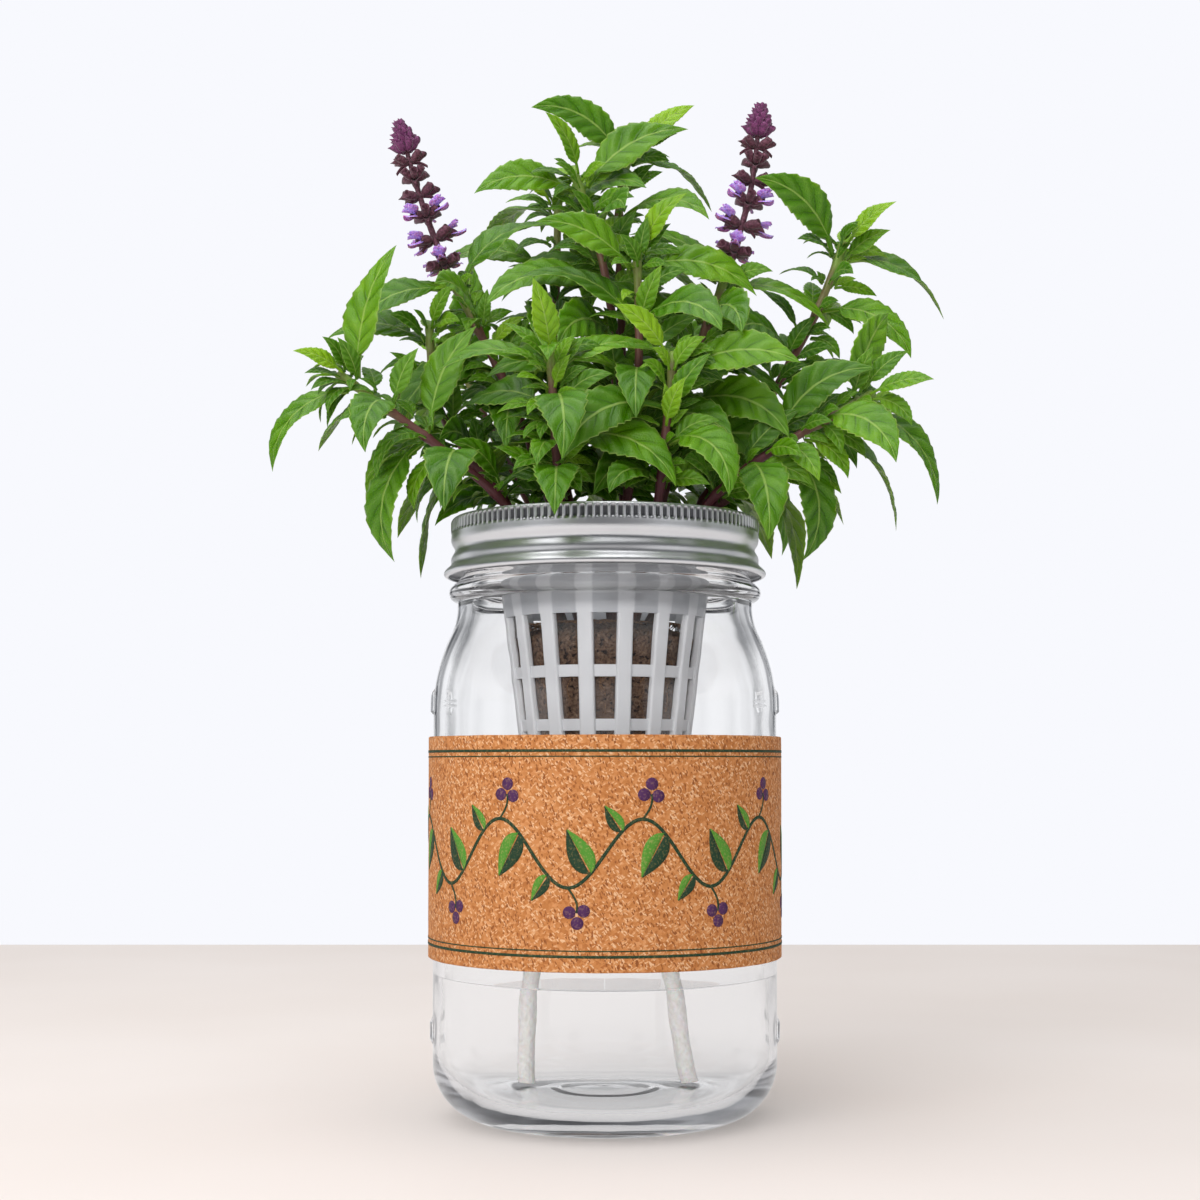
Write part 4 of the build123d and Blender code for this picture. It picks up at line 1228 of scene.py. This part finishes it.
def stem_marks(name):
    """Points along a stem and round its flower spike, which leaves keep away from."""
    total = route_length(routes[name])
    steps = np.linspace(0, total, int(total / stem_mark_step))
    marks = [along(routes[name], step)[0] for step in steps]
    if "spike" in stems[name]:
        spike_pieces = route_pieces([marks[-1], *over_flange(stems[name]["spike"])])
        for step in np.arange(whorl_radius, route_length(spike_pieces), stem_mark_step):
            centre, _ = along(spike_pieces, step)
            for angle in np.arange(0, 2 * pi, pi / 4):
                marks.append(centre + whorl_radius * np.array((cos(angle), sin(angle), 0)))
    return np.array(marks)


def grown(rule, rise, crown, count):
    """What a leaf's rule gives at its place on the stem."""
    lowest, up_stem, in_crown, sway, step, start = rule
    return lowest + up_stem * rise + in_crown * crown + sway * sin(step * count + start)


def leaf_trials(place, direction, turn, rise, crown, count):
    """A leaf as it would grow, then turned, raised and shortened a little more each time."""
    spread = radians(grown(leaf_spread, rise, crown, count))
    fall = radians(grown(leaf_fall, rise, crown, count))
    roll = radians(grown(leaf_roll, rise, crown, count))
    length = leaf_length * grown(leaf_growth, rise, crown, count)
    for shrink in leaf_shrinks:
        for lift in leaf_lifts:
            for swing in leaf_swings:
                turned_by = turn + radians(swing)
                raised_by = max(least_spread, spread + radians(lift))
                yield leaf_shape(place, direction, turned_by, raised_by, roll, fall, length * shrink)


marks = {name: stem_marks(name) for name in stems}
leaves = {name: [] for name in stems}
taken = np.zeros((0, 3))
count = 0
# The leaf pairs, each leaf in the first of its trial places that has room
for name in stems:
    other_stems = np.concatenate([marks[other] for other in stems if other != name])
    for _, place, direction, pair_turn, rise, crown in joints[name]:
        for side in (0, 1):
            count += 1
            sway = leaf_turn_sway[0] * sin(leaf_turn_sway[1] * count)
            turn = radians(pair_turn + 180 * side + sway)
            for shape in leaf_trials(place, direction, turn, rise, crown, count):
                grid = leaf_grid(shape)
                if (
                    above_band(grid)
                    and clear_of(grid, taken, leaf_room)
                    and clear_of(grid, other_stems, stem_radius + stem_room)
                    and clear_of(grid[len(grid) // 3 :], marks[name], stem_radius + stem_room)
                ):
                    leaves[name].append((shape, youth_up_stem * rise + youth_in_crown * crown))
                    taken = np.concatenate((taken, grid))
                    break
# The small leaves of the side shoots that start in and between the joints, where there is room
count = 0
for name in stems:
    other_stems = np.concatenate([marks[other] for other in stems if other != name])
    shoot_places = [joint[1:5] for joint in joints[name]]
    for low, high in zip(joints[name], joints[name][1:]):
        shoot_places.append((*along(routes[name], (low[0] + high[0]) / 2), low[3] + 45, high[4]))
    for place, direction, turn, rise in shoot_places:
        for index in range(shoot_leaves):
            count += 1
            length = shoot_length * grown(shoot_growth, 0, 0, count) * (1 - shoot_shrink * rise)
            spread = radians(grown(shoot_spread, 0, 0, count))
            fall = radians(grown(shoot_fall, 0, 0, count))
            for swing, shrink in shoot_trials:
                heading = radians(turn + 45 + 360 / shoot_leaves * index + swing)
                shape = leaf_shape(place, direction, heading, spread, shoot_roll, fall, length * shrink)
                grid = leaf_grid(shape)
                far = grid[len(grid) // 4 :]
                if (
                    above_band(grid)
                    and clear_of(far, taken, shoot_room)
                    and clear_of(far, other_stems, stem_radius)
                ):
                    leaves[name].append((shape, shoot_youth[0] + shoot_youth[1] * sin(index + turn)))
                    taken = np.concatenate((taken, far))
                    break

# The blade as it shows: teeth, a folded midrib, raised panels between the veins and a wavy edge
blade_rows = 45
blade_columns = 13
petiole_rows = 5
teeth = 11
tooth_depth = 0.15
blade_thickness = 0.3
fold_slope = 0.22
fold_ease = 0.45
panel_height = 0.55
edge_wave = 0.7
edge_waves = 8
tip_taper = 0.45
tip_droop = 2.6
vein_pairs = 6
vein_slant = 0.2
midrib_height = 0.45
midrib_width = 0.45
stalk_depth = 0.8
stalk_fade = 16


def there_and_back(row):
    """A row of values over a blade's upper side and back under it."""
    return np.concatenate((row, row[:, ::-1]), axis=1)


def leaf_mesh(shape, number):
    """A leaf's closed blade and stalk as points, faces and, for its material, a place on the leaf."""
    scale = shape[5] / leaf_length
    width = leaf_width * scale
    stalk = petiole_width / 2 * max(0.5, min(1, scale))
    step = np.linspace(0, 1, blade_rows)
    left = 1 - step
    (near_share, near_wide), (far_share, far_wide) = blade_handles
    share = left**3 * petiole_share + 3 * left**2 * step * near_share
    share += 3 * left * step**2 * far_share + step**3
    half = left**3 * stalk + 3 * left**2 * step * near_wide * width
    half += 3 * left * step**2 * far_wide * width
    tooth = (step * teeth) % 1 - 0.5
    half = half * (1 - tooth_depth * tooth * np.sin(pi * step) ** 0.4) * (1 - tip_taper * step**4) + pole
    lower = np.linspace(0, petiole_share, petiole_rows, endpoint=False)
    share = np.concatenate((lower, share))[:, None]
    half = np.concatenate((np.full(petiole_rows, stalk), half))[:, None]
    blade = np.concatenate((np.zeros(petiole_rows), step))[:, None]
    across = np.linspace(-1, 1, blade_columns)[None, :]
    out = np.abs(across)
    aside = half * across
    swell = np.sin(pi * blade)
    middle = fold_slope * np.abs(aside) * (1 - fold_ease * out) * swell
    panels = np.cos(2 * pi * vein_pairs * (blade - vein_slant * out)) * 4 * out * (1 - out)
    middle = middle - panel_height * scale * panels * swell
    waves = np.sin(edge_waves * blade + 1.9 * number + across) * across**2
    middle = middle + edge_wave * scale * waves * swell - tip_droop * scale * blade**3
    body = blade_thickness / 2 + (stalk_depth * stalk - blade_thickness / 2) * np.exp(-stalk_fade * blade)
    body = body * np.sqrt(1 - 0.95 * across**2) * np.minimum(1, (1.02 - blade) * 6)
    midrib = midrib_height * scale * np.exp(-((aside / midrib_width) ** 2)) * (1 - blade) * (blade > 0)
    lift = np.concatenate((middle + body, (middle - body - midrib)[:, ::-1]), axis=1)
    loop_aside = there_and_back(aside)
    flat = 0 * loop_aside
    points = blade_points(shape, share + flat, loop_aside, lift)
    upper_side = np.repeat((1.0, -1.0), blade_columns)[None, :]
    spot = np.stack((blade + flat, there_and_back(across) + flat, upper_side + flat), axis=-1)
    faces = grid_faces(len(share), 2 * blade_columns, wrap_columns=True)
    return points.reshape(-1, 3), faces, spot.reshape(-1, 3)


# Basil leaf: waxy green skin over a soft blade, paler below, with sunk side veins that carry painted shade,
# a light midrib and rim, and a painted sheen on the panels between the veins. Young ones are yellower.
# Its cells are drawn coarse enough to show.
leaf_blotch = 9.0
leaf_cell = 0.45
leaf_colours = ((0.0, "#305C00"), (0.35, "#437400"), (0.65, "#5B8C06"), (1.0, "#82AC14"))
leaf_finish, tree, shader, place = new_material(
    "basil_leaf",
    {
        "Specular IOR Level": 0.28,
        "Subsurface Weight": 0.15,
        "Subsurface Radius": (0.6, 1.0, 0.25),
        "Subsurface Scale": 0.0012,
    },
)
spot = add(tree, "Attribute", attribute_name="leaf_place").outputs["Vector"]
spot = add(tree, "SeparateXYZ", {"Vector": spot}).outputs
age = add(tree, "Attribute", attribute_name="leaf_youth").outputs["Fac"]
across = add(tree, "Math", {0: spot["Y"]}, operation="ABSOLUTE")
slanted = add(tree, "Math", {0: across, 1: -vein_slant, 2: spot["X"]}, operation="MULTIPLY_ADD")
counted = add(tree, "Math", {0: slanted, 1: float(vein_pairs)}, operation="MULTIPLY")
nearest = add(tree, "Math", {0: counted, 1: 0.5}, operation="PINGPONG")
side_vein = add(tree, "MapRange", {"Value": nearest, "From Min": 0.1, "From Max": 0.02})
inward = add(tree, "Math", {0: 1.0, 1: across}, operation="SUBTRACT")
side_vein = add(tree, "Math", {0: side_vein, 1: inward}, operation="MULTIPLY")
midrib = add(tree, "MapRange", {"Value": across, "From Min": 0.075, "From Max": 0.03})
rim = add(tree, "MapRange", {"Value": across, "From Min": 0.93, "From Max": 0.99})
veins = add(tree, "Math", {0: side_vein, 1: midrib}, operation="MAXIMUM")
pale = add(tree, "Math", {0: midrib, 1: rim}, operation="MAXIMUM")
blotches = add(tree, "TexNoise", {"Vector": place, "Scale": 1000 / leaf_blotch, "Detail": 3.0})
patchy = {"From Min": 0.3, "From Max": 0.7, "To Min": -0.18, "To Max": 0.18}
youth = add(tree, "MapRange", {"Value": blotches, **patchy})
youth = add(tree, "Math", {0: age, 1: youth}, operation="ADD")
upper_colour = add(tree, "ValToRGB", {"Fac": youth}, stops=leaf_colours)
under = add(tree, "MapRange", {"Value": spot["Z"], "From Min": 0.5, "From Max": -0.5})
# Painted sheen: the middle of each panel between the side veins is tinted paler and bluer, as a painted
# highlight
painted_panel_sheen = add(tree, "MapRange", {"Value": nearest, "From Min": 0.15, "From Max": 0.5, "To Max": 0.14})
# Painted shade: the sunk side veins are darkened in colour
painted_vein_shade = add(tree, "Math", {0: side_vein, 1: 0.7}, operation="MULTIPLY")
light_vein = add(tree, "Math", {0: pale, 1: 0.5}, operation="MULTIPLY")
leaf_colour = upper_colour
for share, tint in ((under, "#6B8F26"), (painted_panel_sheen, "#93B55E"), (painted_vein_shade, "#274A04"), (light_vein, "#A3BE62")):
    leaf_colour = add(tree, "Mix", {0: share, 6: leaf_colour, 7: tint}, data_type="RGBA")
cells = add(tree, "TexVoronoi", {"Vector": place, "Scale": 1000 / leaf_cell})
sunk = add(tree, "Math", {0: veins, 1: -1.6, 2: cells}, operation="MULTIPLY_ADD")
bump = add(tree, "Bump", {"Height": sunk, "Strength": 0.4, "Distance": 0.0003})
rough = add(tree, "MapRange", {"Value": blotches, "To Min": 0.22, "To Max": 0.38})
fill(shader, {"Base Color": leaf_colour, "Roughness": rough, "Normal": bump})

number = 0
for name in stems:
    meshes, spots, youths = [], [], []
    for shape, youth in leaves[name]:
        number += 1
        points, faces, spot = leaf_mesh(shape, number)
        meshes.append((points, faces, 0))
        spots.append(spot)
        youths.append(np.full(len(points), youth + 0.22 + 0.16 * sin(5.1 * number)))
    points, faces, _ = joined(meshes)
    leaf_piece = make_piece("basil_leaves_" + name, points, faces, leaf_finish)
    set_attribute(leaf_piece, "leaf_place", "FLOAT_VECTOR", np.concatenate(spots))
    set_attribute(leaf_piece, "leaf_youth", "FLOAT", np.concatenate(youths))
    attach(leaf_piece, "plant")
    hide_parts("leaves_" + name)

# Flower spikes: a thin purple stalk with rings of six dark cupped calyces, tight buds at the tip and
# open two-lipped lilac flowers on the lower rings.
spike_stem_radius = 1.1
spike_taper = 0.45
spike_samples = 60
spike_sides = 10
whorl_height = 4.4
whorl_gap = 4.8
whorl_gap_growth = 1.13
whorl_count = 6
whorl_calyces = 6
bud_rings = 5
bud_height = 9.5
bud_length = 3.9
bud_radius = 1.35
calyx_length = 4.5
calyx_radius = 1.4
calyx_sides = 12
calyx_shares = np.array((0, 0.12, 0.3, 0.55, 0.8, 1.0, 0.9, 0.6))
calyx_widths = np.array((0.25, 0.6, 0.9, 1.0, 0.9, 0.98, 0.75, 0.4))
calyx_point = 0.28
petal_length = 4.3
petal_width = 3.3
petal_film = 0.06
bract_length = 5.0
bract_width = 2.4
flowers_from = 3
# Each petal's lean to the upper lip, its turn aside and its share of the length
petal_places = ((0.75, 0, 1), (0.55, 0.6, 0.9), (0.55, -0.6, 0.9), (-0.45, 0, 1.15))
# Calyx and bud: dark wine-purple skin, browner below, with short hairs on the calyx. Petals: thin lilac,
# paler in patches. Each has its mottle's detail, the depth of its hairs and its colours.
flower_grain = 0.7
soft_petal = {"Roughness": 0.55, "Subsurface Weight": 0.3, "Subsurface Scale": 0.001}
calyx_colours = ((0.3, "#3A1A26"), (0.5, "#5A2B3C"), (0.72, "#7E4A5E"))
flower_finishes = []
for finish_name, sockets, detail, hairs, colours in (
    ("basil_calyx", {"Roughness": 0.6, "Sheen Weight": 0.2}, 3.0, 0.4, calyx_colours),
    ("basil_bud", {"Roughness": 0.55, "Sheen Weight": 0.2}, 3.0, 0.0, ((0.3, "#4B1740"), (0.7, "#8A3F78"))),
    ("lilac_petal", soft_petal, 2.0, 0.0, ((0.3, "#9C66D0"), (0.7, "#CDB0EE"))),
):
    finish, tree, shader, place = new_material(finish_name, sockets)
    mottle = add(tree, "TexNoise", {"Vector": place, "Scale": 1000 / flower_grain, "Detail": detail})
    fill(shader, {"Base Color": add(tree, "ValToRGB", {"Fac": mottle}, stops=colours)})
    if hairs:
        bump = add(tree, "Bump", {"Height": mottle, "Strength": hairs, "Distance": 0.0003})
        fill(shader, {"Normal": bump})
    flower_finishes.append(finish)
calyx_finish, bud_finish, petal_finish = range(3)


def square_to(axis, vector):
    """The direction nearest to a vector that is square to an axis."""
    return unit(vector - (vector @ axis) * axis)


def outward(run, bearing):
    """The direction out of a stalk at a bearing in degrees."""
    side = unit(np.cross(run, (0, 1, 0)))
    return cos(radians(bearing)) * side + sin(radians(bearing)) * np.cross(run, side)


def calyx_mesh(foot, axis, length, radius):
    """A cupped calyx: a narrow foot, a full belly and a mouth with a pointed upper lip."""
    route = foot + calyx_shares[:, None] * length * axis
    side = unit(np.cross(axis, (0.2, 0.3, 1.0)))
    angle = around(calyx_sides)
    ring = side * np.cos(angle)[:, None] + np.cross(axis, side) * np.sin(angle)[:, None]
    lip = np.maximum(0, np.sin(angle + 0.4)) ** 2 * (calyx_shares > 0.75)[:, None]
    points = route[:, None, :] + ring[None] * (calyx_widths * radius)[:, None, None]
    points = points + (calyx_point * length * lip)[..., None] * axis
    return points.reshape(-1, 3), grid_faces(len(calyx_shares), calyx_sides, wrap_columns=True)


def petal_mesh(foot, axis, up, length, width):
    """A small rounded petal that bends back, as a thin closed film."""
    share = np.linspace(0, 1, 7)[:, None]
    across = np.linspace(-1, 1, 5)[None, :]
    wide = width / 2 * np.sin(pi * (0.12 + 0.8 * share)) ** 0.7
    rise = length * (0.15 * share - 0.35 * share**2) + 0.25 * width * across**2
    face = np.concatenate((rise + petal_film, (rise - petal_film)[:, ::-1]), axis=1)
    sideways = (wide * there_and_back(across))[..., None] * np.cross(axis, up)
    points = foot + (share * length)[..., None] * axis + sideways + face[..., None] * up
    return points.reshape(-1, 3), grid_faces(len(share), 2 * across.size, wrap_columns=True)


def whorl_meshes(centre, run, whorl):
    """A ring of calyces with two bracts under it and, low on the spike, open flowers."""
    size = 0.86 + 0.05 * whorl
    for calyx in range(whorl_calyces):
        bearing = 90 * whorl + 180 * (calyx // 3) + 38 * (calyx % 3 - 1) + 8 * sin(calyx + whorl)
        out = outward(run, bearing)
        axis = unit(out + (0.5 - 0.08 * whorl + 0.12 * sin(3 * calyx + whorl)) * run)
        foot = centre - 1.2 * run + out * spike_stem_radius * 0.7
        yield *calyx_mesh(foot, axis, calyx_length * size, calyx_radius * size), calyx_finish
        if whorl >= flowers_from and (calyx + whorl) % 2 == 0:
            mouth = foot + axis * calyx_length * size * 0.85
            up = square_to(axis, run)
            for lean, turn_out, long in petal_places:
                reach = unit(axis + lean * up + turn_out * np.cross(axis, up))
                back = square_to(reach, up) * (1 if lean > 0 else -1)
                yield *petal_mesh(mouth, reach, back, petal_length * long, petal_width), petal_finish
    for bract in range(2):
        reach = unit(outward(run, 90 * whorl + 180 * bract) - 0.25 * run)
        foot = centre - 1.7 * run
        yield *petal_mesh(foot, reach, square_to(reach, run), bract_length, bract_width), calyx_finish


def bud_meshes(centre, run, ring):
    """A ring of closed buds."""
    size = 1 - 0.11 * ring
    for bud in range(whorl_calyces):
        out = outward(run, 60 * bud + 30 * ring)
        axis = unit(out * (1.05 - 0.17 * ring) + run)
        foot = centre + out * 0.7 * size
        yield *calyx_mesh(foot, axis, bud_length * size, bud_radius * size), bud_finish


for name, stem in stems.items():
    if "spike" not in stem:
        continue
    stalk_end, _ = along(routes[name], route_length(routes[name]) - just_short)
    spike_route = route_pieces([stalk_end, *over_flange(stem["spike"])])
    total = route_length(spike_route)
    steps = np.linspace(0, total - just_short, spike_samples)
    line = [along(spike_route, step)[0] for step in steps]
    radii = spike_stem_radius * (1 - spike_taper * steps / total)
    meshes = [(*tube(line, radii, spike_sides), calyx_finish)]
    drop = bud_height
    for whorl in range(whorl_count):
        meshes.extend(whorl_meshes(*along(spike_route, total - drop - whorl_height / 2), whorl))
        drop += whorl_gap * whorl_gap_growth**whorl
    for ring in range(bud_rings):
        below_tip = bud_height * (1 - 0.92 * ring / bud_rings)
        meshes.extend(bud_meshes(*along(spike_route, total - below_tip), ring))
    points, faces, finishes = joined(meshes)
    spike = make_piece("flower_spike_" + name, points, faces, *flower_finishes, finishes=finishes)
    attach(spike, "plant")
    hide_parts("spike_" + name)

# Studio: a plain pale floor, a white room and three soft lamps. Glass and metal also see soft grey
# bands round the room, which draw their edges as a studio's flags do.
floor_half_width = 1400.0
floor_front = -1500.0
floor_back = 540.0
floor_cloud = 166.7
# Pale floor: matt and hardly clouded. Glass and metal see it paler, as they would see a white table.
floor_finish, tree, shader, place = new_material(
    "pale_floor", {"Roughness": 0.7, "Specular IOR Level": 0.2}
)
cloud = add(tree, "TexNoise", {"Vector": place, "Scale": 1000 / floor_cloud, "Detail": 2.0})
shade = add(tree, "ValToRGB", {"Fac": cloud}, stops=((0.3, "#E7DED9"), (0.7, "#EBE3DF")))
fill(shader, {"Base Color": shade})
path = add(tree, "LightPath").outputs
bent = {0: path["Is Glossy Ray"], 1: path["Is Transmission Ray"]}
bent = add(tree, "Math", bent, operation="MAXIMUM")
pale_share = add(tree, "Math", {0: bent, 1: 0.5}, operation="MULTIPLY")
paler = add(tree, "Emission", {"Color": "#F2F3F6", "Strength": 1.0})
seen_floor = add(tree, "MixShader", {0: pale_share, 1: shader, 2: paler})
fill(tree.nodes["Material Output"], {"Surface": seen_floor})
floor_corners = [
    (-floor_half_width, floor_front, 0),
    (floor_half_width, floor_front, 0),
    (floor_half_width, floor_back, 0),
    (-floor_half_width, floor_back, 0),
]
floor = make_piece("floor", floor_corners, [[0, 1, 2, 3]], floor_finish)

# White room: even light, a pale backdrop for the camera, and for glass and metal grey flags at eight
# bearings, grey tiers overhead, walls that darken what is mirrored, and a dark high front
room_strength = 0.62
flag_pairs = 4.0
tier_colours = (
    (0.0, "#D8D6D5"),
    (0.46, "#F0F1F4"),
    (0.6, "#FBFCFF"),
    (0.68, "#6C6F73"),
    (0.78, "#7C7F83"),
    (0.88, "#FFFFFF"),
    (1.0, "#FFFFFF"),
)
wall_colours = (
    (0.06, "#6A6C70"),
    (0.22, "#FFFFFF"),
    (0.4, "#FFFFFF"),
    (0.52, "#96989C"),
    (0.64, "#FFFFFF"),
    (1.0, "#FFFFFF"),
)
world = bpy.data.worlds.new("white_room")
bpy.context.scene.world = world
world.use_nodes = True
tree = world.node_tree
room_light = tree.nodes["Background"]
fill(room_light, {"Color": "#FFFFFF", "Strength": room_strength})
direction = add(tree, "SeparateXYZ", {"Vector": add(tree, "TexCoord").outputs["Generated"]}).outputs
bearing = add(tree, "Math", {0: direction["X"], 1: direction["Y"]}, operation="ARCTAN2")
ripple = add(tree, "Math", {0: bearing, 1: flag_pairs}, operation="MULTIPLY")
ripple = add(tree, "Math", {0: ripple}, operation="SINE")
ripple = add(tree, "Math", {0: ripple}, operation="ABSOLUTE")
flag = add(tree, "MapRange", {"Value": ripple, "From Min": 0.9, "From Max": 0.99})
height = add(tree, "MapRange", {"Value": direction["Z"], "From Min": -1.0})
tiers = add(tree, "ValToRGB", {"Fac": height}, stops=tier_colours)
flagged = add(tree, "Mix", {0: flag, 6: tiers, 7: "#5E6064"}, data_type="RGBA")
behind = add(tree, "Math", {0: direction["Y"], 1: -1.0}, operation="MULTIPLY")
from_front = add(tree, "Math", {0: direction["X"], 1: behind}, operation="ARCTAN2")
from_front = add(tree, "Math", {0: from_front}, operation="ABSOLUTE")
half_turn = add(tree, "MapRange", {"Value": from_front, "From Max": pi})
walls = add(tree, "ValToRGB", {"Fac": half_turn}, stops=wall_colours)
path = add(tree, "LightPath").outputs
mirrored = add(tree, "Math", {0: path["Glossy Depth"], 1: 0.5}, operation="GREATER_THAN")
outside = add(tree, "Math", {0: path["Transmission Depth"], 1: 0.5}, operation="LESS_THAN")
mirrored = add(tree, "Math", {0: mirrored, 1: outside}, operation="MULTIPLY")
walled = {0: mirrored, 6: flagged, 7: walls}
walled = add(tree, "Mix", walled, data_type="RGBA", blend_type="MULTIPLY")
high = add(tree, "MapRange", {"Value": direction["Z"], "From Min": 0.2, "From Max": 0.35})
ahead = add(tree, "MapRange", {"Value": direction["Y"], "From Min": 0.0, "From Max": -0.35})
high_front = add(tree, "Math", {0: high, 1: ahead}, operation="MULTIPLY")
high_front = add(tree, "Math", {0: high_front, 1: mirrored}, operation="MULTIPLY")
dimmed = add(tree, "Mix", {0: high_front, 6: walled, 7: "#4C4E52"}, data_type="RGBA")
seen_room = add(tree, "Background", {"Color": dimmed, "Strength": 1.0})
backdrop = add(tree, "Background", {"Color": "#F8F9FE", "Strength": 1.0})
bent = {0: path["Is Glossy Ray"], 1: path["Is Transmission Ray"]}
bent = add(tree, "Math", bent, operation="MAXIMUM")
reflected = add(tree, "MixShader", {0: bent, 1: room_light, 2: seen_room})
shown = add(tree, "MixShader", {0: path["Is Camera Ray"], 1: reflected, 2: backdrop})
fill(tree.nodes["World Output"], {"Surface": shown})

# Lamps: the glass and the water take no lamp's glare, and the band takes the top lamp alone. What stands
# behind the glass has a lamp of its own, which only those pieces shade. Places are metres.
lamp_aim = Vector((0, 0, 0.17))
inner_pieces = (net_cup, plug, *wicks)
off_glass = bpy.data.collections.new("off_glass")
outer_matt = bpy.data.collections.new("outer_matt")
for unlit, left_out in ((off_glass, (jar, water)), (outer_matt, (jar, water, band, *inner_pieces))):
    for piece in left_out:
        unlit.objects.link(piece)
    for listed in unlit.collection_objects:
        listed.light_linking.link_state = "EXCLUDE"
behind_glass = bpy.data.collections.new("behind_glass")
for piece in inner_pieces:
    behind_glass.objects.link(piece)
for lamp_name, lamp_place, lamp_size, lamp_power, lit, shading in (
    ("top_lamp", (-0.25, -0.15, 1.4), 1.2, 8.0, off_glass, None),
    ("front_lamp", (-0.5, -1.0, 0.8), 1.0, 10.0, outer_matt, None),
    ("inside_lamp", (-0.3, -1.0, 0.4), 1.0, 6.5, behind_glass, behind_glass),
):
    lamp = bpy.data.lights.new(lamp_name, "AREA")
    lamp.size = lamp_size
    lamp.energy = lamp_power
    lamp_object = bpy.data.objects.new(lamp_name, lamp)
    lamp_object.location = lamp_place
    lamp_object.rotation_mode = "QUATERNION"
    lamp_object.rotation_quaternion = (lamp_aim - Vector(lamp_place)).to_track_quat("-Z", "Y")
    lamp_object.light_linking.receiver_collection = lit
    lamp_object.light_linking.blocker_collection = shading
    bpy.context.scene.collection.objects.link(lamp_object)

# Camera: level with the sleeve, a little left of the jar's axis. Most of its rise is lens shift, so
# that the jar's sides stand straight, and the rest is a slight tilt. Its place is in metres.
eye = (-0.0014, -0.568, 0.100)
lens = 59.4
sensor = 36.0
lens_shift = 0.09
tilt = 1.66
camera = bpy.data.cameras.new("camera")
camera.lens = lens
camera.sensor_width = sensor
camera.shift_y = lens_shift
camera_object = bpy.data.objects.new("camera", camera)
camera_object.location = eye
camera_object.rotation_euler = (radians(90 + tilt), 0, 0)
bpy.context.scene.collection.objects.link(camera_object)
bpy.context.scene.camera = camera_object
bpy.context.scene.view_settings.view_transform = "Standard"
